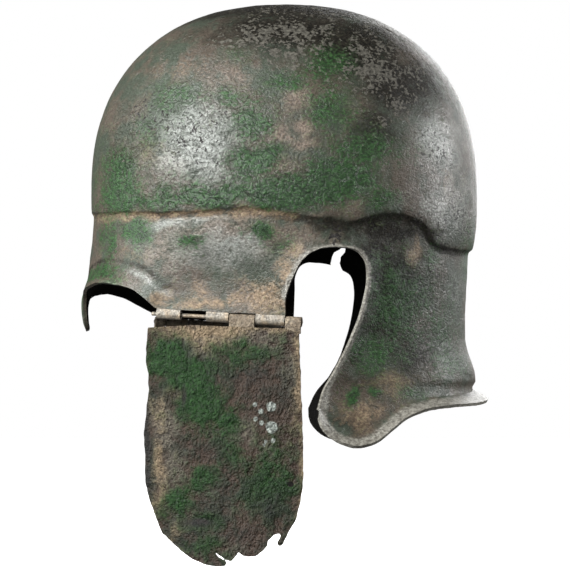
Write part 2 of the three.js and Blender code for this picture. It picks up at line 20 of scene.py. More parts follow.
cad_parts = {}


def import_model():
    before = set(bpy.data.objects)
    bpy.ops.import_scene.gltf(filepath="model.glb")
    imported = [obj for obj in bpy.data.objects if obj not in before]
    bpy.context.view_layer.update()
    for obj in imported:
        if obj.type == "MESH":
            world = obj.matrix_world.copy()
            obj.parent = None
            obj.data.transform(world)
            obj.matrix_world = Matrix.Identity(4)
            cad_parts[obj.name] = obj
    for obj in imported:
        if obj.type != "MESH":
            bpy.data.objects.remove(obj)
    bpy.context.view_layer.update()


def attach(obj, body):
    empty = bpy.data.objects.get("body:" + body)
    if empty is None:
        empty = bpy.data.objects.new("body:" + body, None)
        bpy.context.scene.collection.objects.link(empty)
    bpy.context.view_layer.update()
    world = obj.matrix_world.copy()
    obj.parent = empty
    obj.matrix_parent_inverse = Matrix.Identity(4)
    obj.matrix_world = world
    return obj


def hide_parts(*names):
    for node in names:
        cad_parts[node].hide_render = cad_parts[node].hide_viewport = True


LOG = logging.getLogger("helmet")

MM = 0.001
MERGE_GAP = 1e-3
FAR = 1e9
IMAGE_SIDE = 570
SENSOR = 36.0
CENTRE = Vector((0.0, 0.0, -166.3))
WHITE = (1.0, 1.0, 1.0, 1.0)

Span = tuple[float, float]
Rows = tuple[tuple[float, ...], ...]


class Side(Enum):
    """The wearer's side that a piece belongs to."""

    LEFT = 1
    RIGHT = -1


# Curves and patterns


def smooth_between(value: np.ndarray, low: float, high: float) -> np.ndarray:
    """Eases from 0 at low to 1 at high.

    Args:
        value: Places to ease.
        low: Where the result is 0.
        high: Where the result is 1.

    Returns:
        The eased share at each place.
    """
    t = np.clip((value - low) / (high - low), 0.0, 1.0)
    return t * t * (3 - 2 * t)


def within(value: np.ndarray, rise: Span, fall: Span) -> np.ndarray:
    """Eases from 0 to 1 over one span and back to 0 over the next.

    Args:
        value: Places to ease.
        rise: Where the result rises.
        fall: Where it falls again.

    Returns:
        The eased share at each place.
    """
    return smooth_between(value, *rise) * (1 - smooth_between(value, *fall))


def bell(offset: np.ndarray, width: float) -> np.ndarray:
    """A smooth hump, 1 at no offset and nearly gone at twice its width."""
    return np.exp(-((offset / width) ** 2))


def unevenness(points: np.ndarray, size: float, seed: float = 0.0) -> np.ndarray:
    """Smooth unevenness between about -1 and 1.

    Args:
        points: Places in millimetres, one row each.
        size: Width of a hump in millimetres.
        seed: Shifts the pattern.

    Returns:
        One value for each place.
    """
    return np.array([noise.noise(Vector(p)) for p in (points / size + seed).tolist()])


def relief(points: np.ndarray, waves: Rows) -> np.ndarray:
    """Adds up layers of unevenness.

    Args:
        points: Places in millimetres, one row each.
        waves: Height, width of a hump and seed of each layer.

    Returns:
        One value for each place.
    """
    return sum(height * unevenness(points, size, seed) for height, size, seed in waves)


def inside_outline(points: np.ndarray, outline: np.ndarray) -> np.ndarray:
    """Tests points against a closed outline, by the even-odd rule.

    Args:
        points: Flat places, one row each.
        outline: Corners of the outline, in order.

    Returns:
        True for each place inside.
    """
    inside = np.zeros(len(points), bool)
    for a, b in zip(outline, np.roll(outline, -1, axis=0)):
        if a[1] == b[1]:
            continue
        spans = (a[1] > points[:, 1]) != (b[1] > points[:, 1])
        crossing = (b[0] - a[0]) * (points[:, 1] - a[1]) / (b[1] - a[1]) + a[0]
        inside ^= spans & (points[:, 0] < crossing)
    return inside


def even_steps(corners: np.ndarray, step: float) -> np.ndarray:
    """Walks a chain of corners in even steps.

    Args:
        corners: Corners in order.
        step: Distance between two places.

    Returns:
        The places, with every corner among them.
    """
    runs = []
    for a, b in zip(corners[:-1], corners[1:]):
        count = max(1, round(float(np.linalg.norm(b - a)) / step))
        share = np.linspace(0, 1, count, endpoint=False)[:, None]
        runs.append(a + (b - a) * share)
    return np.vstack([*runs, corners[-1:]])


def angle_of(places: np.ndarray) -> np.ndarray:
    """Degrees round the helmet, 0 at the face and positive on the wearer's left."""
    return np.degrees(np.arctan2(places[:, 0], -places[:, 1]))


@dataclass(frozen=True)
class SizeTable:
    """A smooth curve through a table's rows that never overshoots them."""

    rows: Rows

    def at(self, place: np.ndarray, column: int = 1) -> np.ndarray:
        """Reads a column of the table.

        Args:
            place: Where to read, in the units of the first column.
            column: Which column to read.

        Returns:
            The column's value at each place.
        """
        x = np.array([row[0] for row in self.rows], float)
        y = np.array([row[column] for row in self.rows], float)
        rise = np.diff(y) / np.diff(x)
        slope = np.empty(len(x))
        slope[0], slope[-1] = rise[0], rise[-1]
        same = rise[:-1] * rise[1:] > 0
        total = np.where(same, rise[:-1] + rise[1:], 1.0)
        slope[1:-1] = np.where(same, 2 * rise[:-1] * rise[1:] / total, 0.0)
        clamped = np.clip(place, x[0], x[-1])
        i = np.clip(np.searchsorted(x, clamped, side="right") - 1, 0, len(x) - 2)
        step = x[i + 1] - x[i]
        t = (clamped - x[i]) / step
        start = (1 + 2 * t) * (1 - t) ** 2 * y[i] + t * (1 - t) ** 2 * step * slope[i]
        return start + t * t * (3 - 2 * t) * y[i + 1] + t * t * (t - 1) * step * slope[i + 1]


@dataclass(frozen=True)
class Edge:
    """A lower edge of the wall: rows of angle, height and how far its lip turns out."""

    rows: Rows
    band: float
    curl: float
    steps: int = 400

    def samples(self) -> np.ndarray:
        """Follows the smooth curve through the edge's rows.

        Returns:
            Rows of angle, height and lip.
        """
        knots = np.array(self.rows, float)
        before = 2 * knots[0] - knots[1]
        after = 2 * knots[-1] - knots[-2]
        chain = np.vstack([before, knots, after])
        place = np.linspace(0, len(knots) - 1, self.steps + 1)
        index = np.minimum(place.astype(int), len(knots) - 2)
        t = (place - index)[:, None]
        p0, p1, p2, p3 = (chain[index + k] for k in range(4))
        pairs = ((p0, p1), (p1, p2), (p2, p3))
        d0, d1, d2 = (np.sqrt(np.linalg.norm(b - a, axis=1))[:, None] for a, b in pairs)
        leave = ((p1 - p0) / d0 - (p2 - p0) / (d0 + d1) + (p2 - p1) / d1) * d1
        reach = ((p2 - p1) / d1 - (p3 - p1) / (d1 + d2) + (p3 - p2) / d2) * d1
        curve = p1 + leave * t + (-3 * p1 + 3 * p2 - 2 * leave - reach) * t**2
        return curve + (2 * p1 - 2 * p2 + leave + reach) * t**3


@dataclass(frozen=True)
class Stains:
    """Where a layer of corrosion lies, as ovals seen from the side whose edges stray a little.

    A row holds an oval's y, z, radius and strength, and its radius along z if it isn't round.
    """

    rows: Rows
    wander: float = 5.0
    wander_mm: float = 13.0
    seeds: Span = (21.0, 43.0)

    def at(self, points: np.ndarray) -> np.ndarray:
        """How strongly each place lies in any of the ovals.

        Args:
            points: Places in millimetres, one row each.

        Returns:
            The strongest oval's strength there.
        """
        y, z = (
            points[:, axis] + self.wander * unevenness(points, self.wander_mm, seed)
            for axis, seed in zip((1, 2), self.seeds)
        )
        strongest = np.zeros(len(points))
        for row in self.rows:
            tall = row[4] if len(row) > 4 else row[2]
            found = row[3] * bell(y - row[0], row[2]) * bell(z - row[1], tall)
            strongest = np.maximum(strongest, found)
        return strongest


# Form of the sheet


@dataclass(frozen=True)
class HelmetForm:
    """The outer face of the helmet: a bowl, a step at the brow and a shaped wall below it."""

    bowl_front: float = 116.4
    bowl_rear: float = 115.3
    bowl_half_width: float = 94.5
    bowl_rise: float = 114.3
    widest_z: float = -113.1
    plan_power: float = 2.15
    side_power: float = 2.36
    egg_shape: float = 0.035
    step_drop: float = 1.6
    spread_radius: float = 104.0
    nasal_push: float = 3.2
    nasal_half_width: float = 10.0
    nasal_reach_angle: float = 45.0
    nasal_top: float = -158.0
    nasal_full: float = -178.0
    tab_x: float = 68.6
    tab_y: float = -75.0
    tab_slant: float = 0.24
    tab_flat_top: float = -134.0
    tab_flat_full: float = -178.0
    tab_front_angles: Span = (45.0, 53.0)
    tab_rear_angles: Span = (90.0, 98.0)
    step_line: SizeTable = SizeTable((
        (0, -123.9), (30, -126.6), (60, -129.1), (78, -127.6), (92, -131.4), (107, -136.4),
        (112, -132.6), (120, -130.4), (128, -132.6), (134, -137.5), (138, -146.6),
        (150, -148.2), (180, -145.6),
    ))
    wall: SizeTable = SizeTable((
        (-262, 115.0, 112.0, 90.0), (-245, 115.0, 112.0, 87.0), (-228, 115.0, 112.0, 84.6),
        (-224, 115.0, 114.0, 84.0), (-219, 115.0, 113.6, 83.4), (-212, 115.0, 111.5, 83.0),
        (-205, 115.0, 109.2, 82.8), (-198, 115.2, 108.0, 83.0), (-188, 118.4, 108.0, 84.0),
        (-180, 119.2, 108.3, 85.0), (-163, 118.0, 109.2, 88.0), (-150, 116.6, 109.8, 89.8),
        (-140, 115.4, 110.5, 91.0), (-122, 114.5, 111.2, 92.2),
    ))
    eye_left: Edge = Edge((
        (0, -194.5, 0), (2.3, -193.2, 0), (3.9, -189, 0), (4.7, -182, 0.2), (6.2, -175.6, 1),
        (10, -171.6, 2.8), (19, -168.6, 4.2), (28.6, -167.2, 4.6), (37, -168.6, 4.6),
        (44.1, -171.4, 4.1), (49.4, -177.4, 2.4), (52.5, -182.9, 0.2),
    ), band=11, curl=1.1)
    eye_right: Edge = Edge((
        (0, -194.5, 0), (2.3, -193.2, 0), (3.9, -189, 0), (4.7, -183, 0.2), (6.2, -177.6, 1),
        (10, -173.8, 2.8), (19, -170.4, 4.2), (28.6, -169.3, 4.6), (37, -171.7, 4.6),
        (44.1, -176.6, 4.1), (49.4, -181.2, 2.4), (52.5, -182.9, 0.2),
    ), band=11, curl=1.1)
    ear_left: Edge = Edge((
        (89.5, -187.8, 0), (89.6, -177, 0.8), (91.2, -165.8, 1.4), (94.3, -154.8, 2),
        (98.6, -150.2, 2.2), (103.5, -149.6, 2.4), (108.4, -150.9, 2.6), (111.5, -156.5, 3),
        (112.5, -166, 3.5), (111.8, -177, 4), (110.1, -189, 4), (106.8, -203, 4),
        (102.5, -217, 4), (99, -230, 4.2), (97.4, -242, 4.5),
    ), band=12, curl=1.8)
    ear_right: Edge = Edge((
        (93.1, -187.9, 0), (93.1, -177, 0.6), (93.1, -165, 0.8), (93.4, -155.6, 0.8),
        (96.2, -147.9, 0.8), (101.2, -147.6, 1), (107, -150.6, 1.4), (111.6, -155.4, 2.4),
        (113.2, -165, 3.4), (112.9, -177, 4), (111.4, -191, 4), (108.3, -206.2, 4),
        (104.2, -219, 4), (99.6, -231.5, 4.2), (97.4, -242, 4.5),
    ), band=12, curl=1.8)
    neck: Edge = Edge((
        (97.4, -242, 4.5), (98.8, -250.4, 5), (102.8, -257.4, 5), (108, -260.4, 5),
        (113.4, -258, 5), (118.6, -251, 5.4), (124, -244, 6), (131, -239.8, 7),
        (142, -237.5, 8), (155, -236.5, 9), (168, -234.8, 9.6), (180, -233, 9.8),
    ), band=5, curl=1.1)

    def edges(self, side: Side) -> list[Edge]:
        """The edges of one side from the nasal to the nape, the side tab's foot among them.

        Args:
            side: Which side.

        Returns:
            Four edges.
        """
        left = side is Side.LEFT
        eye = self.eye_left if left else self.eye_right
        ear = self.ear_left if left else self.ear_right
        foot = Edge((eye.rows[-1], ear.rows[0]), band=1, curl=1)
        return [eye, foot, ear, self.neck]

    def plan(self, angle: np.ndarray, reach: tuple, height: np.ndarray) -> np.ndarray:
        """Points of a rounded outline seen from above.

        Args:
            angle: Degrees round the helmet, 0 at the face, positive on the wearer's left.
            reach: Front, rear and half width of the outline.
            height: Height of each point.

        Returns:
            One point a row.
        """
        front, rear, half = reach
        turn = np.radians(angle)
        ahead = np.sign(np.cos(turn)) * np.abs(np.cos(turn)) ** (2 / self.plan_power)
        across = np.sign(np.sin(turn)) * np.abs(np.sin(turn)) ** (2 / self.plan_power)
        y = -ahead * np.where(np.cos(turn) > 0, front, rear)
        x = across * half * (1 + self.egg_shape * y / self.bowl_front)
        return np.stack([x, y, height], axis=1)

    def bowl(self, angle: np.ndarray, share: np.ndarray) -> np.ndarray:
        """Points of the bowl.

        Args:
            angle: Degrees round the helmet.
            share: Where each point lies from the crown, 0, to the edge of the step, 1.

        Returns:
            One point a row.
        """
        depth = (self.widest_z - self.step_line.at(np.abs(angle))) / self.bowl_rise
        polar = (math.pi / 2 + np.arcsin(depth ** (self.side_power / 2))) * share
        reach = np.sin(polar) ** (2 / self.side_power)
        drop = np.cos(polar)
        lift = np.sign(drop) * np.abs(drop) ** (2 / self.side_power)
        sizes = (self.bowl_front * reach, self.bowl_rear * reach, self.bowl_half_width * reach)
        return self.plan(angle, sizes, self.widest_z + self.bowl_rise * lift)

    def drum(self, angle: np.ndarray, height: np.ndarray) -> np.ndarray:
        """Places on the drum that the wall is laid out on.

        Args:
            angle: Degrees round the helmet.
            height: Height of each place.

        Returns:
            One place a row.
        """
        turn = np.radians(angle)
        radius = self.spread_radius
        return np.stack([np.sin(turn) * radius, -np.cos(turn) * radius, height], axis=1)

    def plain_wall(self, angle: np.ndarray, height: np.ndarray) -> np.ndarray:
        """Points of the wall without its lips and its nasal ridge.

        Args:
            angle: Degrees round the helmet.
            height: Height of each point.

        Returns:
            One point a row.
        """
        sizes = tuple(self.wall.at(height, column) for column in (1, 2, 3))
        points = self.plan(angle, sizes, height)
        turned = np.abs(angle)
        low = 1 - smooth_between(height, self.tab_flat_full, self.tab_flat_top)
        flat = low * smooth_between(turned, *self.tab_front_angles)
        flat = flat * (1 - smooth_between(turned, *self.tab_rear_angles))
        tab_x = np.sign(points[:, 0]) * (self.tab_x + (points[:, 1] - self.tab_y) * self.tab_slant)
        points[:, 0] += (tab_x - points[:, 0]) * flat
        return points

    def wall_points(self, angle: np.ndarray, height: np.ndarray, lip: np.ndarray) -> np.ndarray:
        """Points of the finished wall.

        Args:
            angle: Degrees round the helmet.
            height: Height of each point.
            lip: How far an edge nearby turns the wall outwards there.

        Returns:
            One point a row.
        """
        points = self.plain_wall(angle, height)
        half = self.wall.at(height, 3)
        rear = self.wall.at(height, 2)
        outward = np.stack([points[:, 0] / half**2, points[:, 1] / rear**2], axis=1)
        outward /= np.linalg.norm(outward, axis=1)[:, None]
        points[:, :2] += outward * lip[:, None]
        near = np.abs(angle) < self.nasal_reach_angle
        ridge = bell(points[:, 0], self.nasal_half_width) * near
        low = 1 - smooth_between(height, self.nasal_full, self.nasal_top)
        points[:, 1] -= self.nasal_push * ridge * low
        return points


# Mesh helpers


def read_places(bm: bmesh.types.BMesh) -> np.ndarray:
    """The places of a mesh's vertices, one row each, in index order."""
    bm.verts.index_update()
    bm.verts.ensure_lookup_table()
    return np.array([v.co[:] for v in bm.verts])


def write_places(bm: bmesh.types.BMesh, points: np.ndarray) -> None:
    """Moves a mesh's vertices to the given places, one row each, in index order."""
    for vert, place in zip(bm.verts, points.tolist()):
        vert.co = place


def read_normals(bm: bmesh.types.BMesh) -> np.ndarray:
    """The normals of a mesh's vertices, one row each."""
    bm.normal_update()
    return np.array([v.normal[:] for v in bm.verts])


def tree_of(points: np.ndarray) -> KDTree:
    """A search tree that finds the nearest of some places.

    Args:
        points: The places, one row each.

    Returns:
        The tree, balanced.
    """
    tree = KDTree(len(points))
    for index, place in enumerate(points.tolist()):
        tree.insert(place, index)
    tree.balance()
    return tree


def trim_to_outline(
    bm: bmesh.types.BMesh,
    keep: np.ndarray,
    outline: np.ndarray,
    corners: np.ndarray,
    rounds: int = 6,
) -> list[bmesh.types.BMVert]:
    """Cuts a sheet of small cells to an outline and draws its rim onto it.

    Args:
        bm: The sheet.
        keep: True for each face to keep, in index order.
        outline: Dense places along the outline.
        corners: Places that a rim vertex must take exactly.
        rounds: How often the rim is evened out.

    Returns:
        The rim's vertices.
    """
    bm.faces.ensure_lookup_table()
    doomed = [face for face, kept in zip(bm.faces, keep) if not kept]
    bmesh.ops.delete(bm, geom=doomed, context="FACES")
    bmesh.ops.delete(bm, geom=[v for v in bm.verts if not v.link_faces], context="VERTS")
    rim = [v for v in bm.verts if v.is_boundary]
    tree = tree_of(outline)
    for vert in rim:
        vert.co = tree.find(vert.co)[0]
    pinned = set()
    for corner in corners.tolist():
        taker = min(rim, key=lambda v: (v.co - Vector(corner)).length_squared)
        taker.co = corner
        pinned.add(taker)
    for _ in range(rounds):
        for vert in rim:
            beside = [e.other_vert(vert) for e in vert.link_edges if e.is_boundary]
            if vert not in pinned and len(beside) == 2:
                vert.co = tree.find((beside[0].co + beside[1].co) / 2)[0]
    return rim


def rings_inside(rim: list[bmesh.types.BMVert], count: int) -> list[bmesh.types.BMVert]:
    """The vertices within a few rings of a rim, without the rim itself.

    Args:
        rim: The rim's vertices.
        count: How many rings.

    Returns:
        The rings' vertices.
    """
    seen = set(rim)
    front = set(rim)
    found = []
    for _ in range(count):
        front = {e.other_vert(v) for v in front for e in v.link_edges} - seen
        seen |= front
        found.extend(front)
    return found


def smooth(bm: bmesh.types.BMesh, verts: list[bmesh.types.BMVert], rounds: int) -> None:
    """Evens out some vertices of a mesh.

    Args:
        bm: The mesh.
        verts: The vertices to move.
        rounds: How often they move half-way to their neighbours.
    """
    for _ in range(rounds):
        bmesh.ops.smooth_vert(
            bm, verts=verts, factor=0.5, use_axis_x=True, use_axis_y=True, use_axis_z=True
        )


def turn_away(bm: bmesh.types.BMesh, across: Vector) -> None:
    """Makes a mesh's normals agree and point away from an axis.

    Args:
        bm: The mesh.
        across: 1 for each direction across the axis and 0 along it.
    """
    bmesh.ops.recalc_face_normals(bm, faces=bm.faces)
    if sum(f.normal.dot(f.calc_center_median() * across) for f in bm.faces) < 0:
        bmesh.ops.reverse_faces(bm, faces=bm.faces)


def add_marks(bm: bmesh.types.BMesh, marks: dict[str, np.ndarray]) -> None:
    """Stores numbers for each vertex under names that a finish reads.

    Args:
        bm: The mesh.
        marks: One value for each vertex, by name.
    """
    for name, values in marks.items():
        layer = bm.verts.layers.float.new(name)
        for vert, value in zip(bm.verts, values.tolist()):
            vert[layer] = value


def thin_inside(bm: bmesh.types.BMesh, near: np.ndarray, thin: float, ease: Span) -> None:
    """Weights a sheet's wall so that it is thinner away from its rims.

    Args:
        bm: The sheet.
        near: Distance of each vertex to the nearest rim.
        thin: The thickness far from a rim, as a share of the rim's.
        ease: Distances between which the thickness changes.
    """
    layer = bm.verts.layers.deform.verify()
    weights = 1 - (1 - thin) * smooth_between(near, *ease)
    for vert, weight in zip(bm.verts, weights.tolist()):
        vert[layer][0] = weight


def finish_mesh(
    name: str,
    bm: bmesh.types.BMesh,
    materials: list[bpy.types.Material],
    sheet: float = 0.0,
    sharp: float = 40.0,
) -> bpy.types.Object:
    """Turns a mesh in millimetres into an object in metres, with a wall thickness if asked.

    Args:
        name: Name of the piece.
        bm: The mesh, which is freed.
        materials: Outer finish, then the finish of the inside.
        sheet: Thickness that the sheet gets towards its inside, scaled by its wall weights.
        sharp: Angle in degrees above which an edge is drawn sharp.

    Returns:
        The new object.
    """
    bmesh.ops.scale(bm, vec=(MM, MM, MM), verts=bm.verts)
    mesh = bpy.data.meshes.new(name)
    weighted = bool(bm.verts.layers.deform.active)
    bm.to_mesh(mesh)
    bm.free()
    piece = bpy.data.objects.new(name, mesh)
    bpy.context.scene.collection.objects.link(piece)
    for material in materials:
        mesh.materials.append(material)
    if sheet:
        if weighted:
            piece.vertex_groups.new(name="wall")
        wall = piece.modifiers.new("wall", "SOLIDIFY")
        wall.thickness = sheet * MM
        wall.offset = -1
        wall.material_offset = len(materials) - 1
        if weighted:
            wall.vertex_group = "wall"
        graph = bpy.context.evaluated_depsgraph_get()
        solid = bpy.data.meshes.new_from_object(piece.evaluated_get(graph))
        piece.modifiers.clear()
        piece.vertex_groups.clear()
        piece.data = solid
        bpy.data.meshes.remove(mesh)
        mesh = solid
        mesh.name = name
    mesh.shade_smooth()
    mesh.set_sharp_from_angle(angle=math.radians(sharp))
    return piece


# Finishes


def linear(hex_code: str) -> tuple[float, float, float, float]:
    """Turns an sRGB hex colour into a linear one.

    Args:
        hex_code: Such as "#5c6152".

    Returns:
        Red, green, blue and alpha.
    """
    parts = (int(hex_code[i : i + 2], 16) / 255 for i in (1, 3, 5))
    plain = [c / 12.92 if c <= 0.04045 else ((c + 0.055) / 1.055) ** 2.4 for c in parts]
    return (*plain, 1.0)


def add_node(
    tree: bpy.types.NodeTree,
    kind: str,
    settings: dict | None = None,
    inputs: dict | None = None,
    output: int | str = 0,
) -> bpy.types.NodeSocket | None:
    """Adds a shader node with its settings and links.

    Args:
        tree: The tree that gets the node.
        kind: The node's type name, without the ShaderNode that starts each.
        settings: Properties to set.
        inputs: Values or output sockets for its inputs, by name or number.
        output: Which of its outputs to give back, by name or number.

    Returns:
        That output, or None for a node without any.
    """
    node = tree.nodes.new(f"ShaderNode{kind}")
    for key, value in (settings or {}).items():
        setattr(node, key, value)
    for key, value in (inputs or {}).items():
        if isinstance(value, bpy.types.NodeSocket):
            tree.links.new(value, node.inputs[key])
        else:
            node.inputs[key].default_value = value
    return node.outputs[output] if node.outputs else None


def weigh(tree: bpy.types.NodeTree, *parts: tuple) -> bpy.types.NodeSocket:
    """The sum of some values, each with its weight.

    Args:
        tree: The tree that gets the nodes.
        parts: Pairs of a value and its weight, either of them a number or a socket.

    Returns:
        The sum.
    """
    total = None
    for value, weight in parts:
        part = add_node(tree, "Math", {"operation": "MULTIPLY"}, {0: value, 1: weight})
        total = part if total is None else add_node(tree, "Math", None, {0: total, 1: part})
    return total


LAY_OVER = {"data_type": "RGBA"}
MULTIPLY_COLOUR = {"data_type": "RGBA", "blend_type": "MULTIPLY"}
MIXED_COLOUR = 2


@dataclass(frozen=True)
class Layer:
    """A coloured layer that lies where its marks are strong, with a ragged edge: corrosion, and in
    some layers painted shade and painted highlight as well.

    It starts to show at low marks and covers fully at high ones. The ragged, fine and spots
    weights let the patches, the specks and the spots of the finish break up its edge.
    """

    marks: str
    colour: str
    second: str
    low: float = 0.08
    high: float = 0.72
    ragged: float = 0.4
    fine: float = 0.4
    spots: float = 0.0
    rough: float = 0.5
    gloss: float = 0.45
    height: float = 0.0

    def share(self, tree: bpy.types.NodeTree, patch: bpy.types.NodeSocket,
              speck: bpy.types.NodeSocket, spots: bpy.types.NodeSocket) -> bpy.types.NodeSocket:
        """How much of the surface the layer covers.

        Args:
            tree: The tree that gets the nodes.
            patch: The finish's patches, from 0 to 1.
            speck: Its specks.
            spots: Its spots.

        Returns:
            The share, from 0 to 1.
        """
        marks = add_node(tree, "Attribute", {"attribute_name": self.marks}, None, "Fac")
        amount = weigh(
            tree, (marks, 1.0), (patch, self.ragged), (speck, self.fine), (spots, self.spots)
        )
        middle = (self.ragged + self.fine + self.spots) / 2
        ends = {"Value": amount, "From Min": self.low + middle, "From Max": self.high + middle}
        return add_node(tree, "MapRange", {"interpolation_type": "SMOOTHSTEP"}, ends)


@dataclass(frozen=True)
class Patina:
    """Old bronze: corrosion layers over each other, from a smooth skin to a thick crust, with painted
    shade and painted highlight in some of them.

    Names that end in mm are real widths, names that end in height are shares of the relief, and
    spans are the stretches of a pattern that are spread over all of its range.
    """

    name: str
    base: str
    second: str
    shade: str
    layers: tuple[Layer, ...]
    metallic: float
    roughness: float
    relief: float
    patch_height: float = 0.5
    speck_height: float = 0.35
    grain_height: float = 0.3
    wrinkle_height: float = 0.0
    pebble_height: float = 0.0
    skin_height: float = 0.35
    cloud_mm: float = 15.0
    patch_mm: float = 5.0
    speck_mm: float = 1.2
    grain_mm: float = 0.7
    spot_mm: float = 0.95
    wrinkle_mm: float = 3.6
    pebble_mm: float = 1.7
    gloss: float = 0.5
    stretch: float = 1.0
    mottle: float = 0.5
    noise_span: Span = (0.32, 0.68)
    tone_span: Span = (0.35, 0.65)
    hollow_span: Span = (0.6, 0.95)
    shade_span: Span = (0.25, 0.75)
    fleck_span: Span = (0.2, 0.8)
    pebble_span: Span = (0.1, 0.9)
    hollow_dark: float = 0.65
    crease_width: float = 0.03
    crease_dark: float = 0.1
    speck_rough: float = 0.15

    def spotty(self, tree: bpy.types.NodeTree, coords: bpy.types.NodeSocket, size: float,
               detail: float = 5.0, rough: float = 0.6) -> bpy.types.NodeSocket:
        """Noise from 0 to 1 with marks of a real size, half its lattice's width.

        Args:
            tree: The tree that gets the nodes.
            coords: Where the pattern is read.
            size: Width of its marks in millimetres.
            detail: How many finer octaves it has.
            rough: How strong those are.

        Returns:
            The pattern.
        """
        low, high = self.noise_span
        noisy = add_node(tree, "TexNoise", None, {
            "Vector": coords, "Scale": 0.5 / (size * MM), "Detail": detail, "Roughness": rough
        })
        return add_node(
            tree, "MapRange", None, {"Value": noisy, "From Min": low, "From Max": high}
        )

    def creases(self, tree: bpy.types.NodeTree,
                coords: bpy.types.NodeSocket) -> bpy.types.NodeSocket:
        """Thin wavy creases, where a noise crosses its middle.

        Args:
            tree: The tree that gets the nodes.
            coords: Where the pattern is read.

        Returns:
            1 along their middle and 0 between them.
        """
        noisy = add_node(tree, "TexNoise", None, {
            "Vector": coords, "Scale": 0.5 / (self.wrinkle_mm * MM), "Detail": 4.0,
            "Roughness": 0.62, "Distortion": 1.2,
        })
        offset = add_node(tree, "Math", {"operation": "SUBTRACT"}, {0: noisy, 1: 0.5})
        gone = add_node(tree, "Math", {"operation": "ABSOLUTE"}, {0: offset})
        ends = {"Value": gone, "From Max": self.crease_width, "To Min": 1.0, "To Max": 0.0}
        return add_node(tree, "MapRange", None, ends)

    def pebbles(self, tree: bpy.types.NodeTree,
                coords: bpy.types.NodeSocket) -> bpy.types.NodeSocket:
        """Rounded grains of crust.

        Args:
            tree: The tree that gets the nodes.
            coords: Where the pattern is read.

        Returns:
            1 on top of a grain and 0 between them.
        """
        low, high = self.pebble_span
        grains = add_node(tree, "TexVoronoi", {"feature": "SMOOTH_F1"}, {
            "Vector": coords, "Scale": 1 / (self.pebble_mm * MM), "Detail": 1.0,
            "Roughness": 0.6, "Smoothness": 0.35,
        }, "Distance")
        ends = {"Value": grains, "From Min": low, "From Max": high, "To Min": 1.0, "To Max": 0.0}
        return add_node(tree, "MapRange", None, ends)

    def skin(self, tree: bpy.types.NodeTree, cloud: bpy.types.NodeSocket,
             patch: bpy.types.NodeSocket, speck: bpy.types.NodeSocket) -> bpy.types.NodeSocket:
        """The colour under all the layers, darker in its hollows.

        Args:
            tree: The tree that gets the nodes.
            cloud: The finish's clouds, from 0 to 1.
            patch: Its patches.
            speck: Its specks.

        Returns:
            The colour.
        """
        low, high = self.tone_span
        drift = weigh(tree, (cloud, 0.6), (patch, 0.4))
        tone = add_node(tree, "MapRange", None, {"Value": drift, "From Min": low, "From Max": high})
        plain = add_node(
            tree, "Mix", LAY_OVER, {"Factor": tone, 6: linear(self.base), 7: linear(self.second)},
            MIXED_COLOUR,
        )
        low, high = self.hollow_span
        hollows = add_node(tree, "MapRange", None, {
            "Value": speck, "From Min": low, "From Max": high, "To Max": self.hollow_dark
        })
        return add_node(
            tree, "Mix", LAY_OVER, {"Factor": hollows, 6: plain, 7: linear(self.shade)},
            MIXED_COLOUR,
        )

    def build(self) -> bpy.types.Material:
        """Makes the material.

        Returns:
            The material, new for each piece.
        """
        material = bpy.data.materials.new(self.name)
        material.use_nodes = True
        tree = material.node_tree
        tree.nodes.clear()
        place = add_node(tree, "TexCoord", output="Object")
        drawn = add_node(
            tree, "Mapping", None, {"Vector": place, "Scale": (1, 1, self.stretch)}
        )
        cloud = self.spotty(tree, place, self.cloud_mm)
        patch = self.spotty(tree, place, self.patch_mm, 6.0, 0.62)
        speck = self.spotty(tree, drawn, self.speck_mm, 4.0)
        grain = self.spotty(tree, drawn, self.grain_mm, 3.0)
        spots = self.spotty(tree, place, self.spot_mm, 1.5, 0.4)
        fine = weigh(tree, (speck, 0.5), (grain, 0.5))
        low, high = self.shade_span
        shading = add_node(
            tree, "MapRange", None, {"Value": fine, "From Min": low, "From Max": high}
        )

        colour = self.skin(tree, cloud, patch, speck)
        rough, gloss = self.roughness, self.gloss
        height = weigh(tree, (patch, self.patch_height), (speck, self.speck_height),
                       (grain, self.grain_height))
        if self.pebble_height:
            height = weigh(tree, (height, 1.0), (self.pebbles(tree, drawn), self.pebble_height))
        for layer in self.layers:
            share = layer.share(tree, patch, speck, spots)
            shades = add_node(tree, "Mix", LAY_OVER, {
                "Factor": shading, 6: linear(layer.second), 7: linear(layer.colour)
            }, MIXED_COLOUR)
            colour = add_node(
                tree, "Mix", LAY_OVER, {"Factor": share, 6: colour, 7: shades}, MIXED_COLOUR
            )
            rough, gloss = (
                add_node(tree, "MapRange", None, {"Value": share, "To Min": under, "To Max": over})
                for under, over in ((rough, layer.rough), (gloss, layer.gloss))
            )
            if layer.height:
                height = weigh(tree, (height, 1.0), (share, layer.height))
        if self.wrinkle_height:
            crust = add_node(tree, "Attribute", {"attribute_name": "crust"}, None, "Fac")
            creased = weigh(tree, (self.creases(tree, drawn), crust))
            thick = add_node(tree, "MapRange", None, {"Value": crust, "To Min": self.skin_height})
            height = weigh(tree, (height, thick), (creased, -self.wrinkle_height))
            colour = add_node(tree, "Mix", LAY_OVER, {
                "Factor": weigh(tree, (creased, self.crease_dark)), 6: colour,
                7: linear(self.shade),
            }, MIXED_COLOUR)

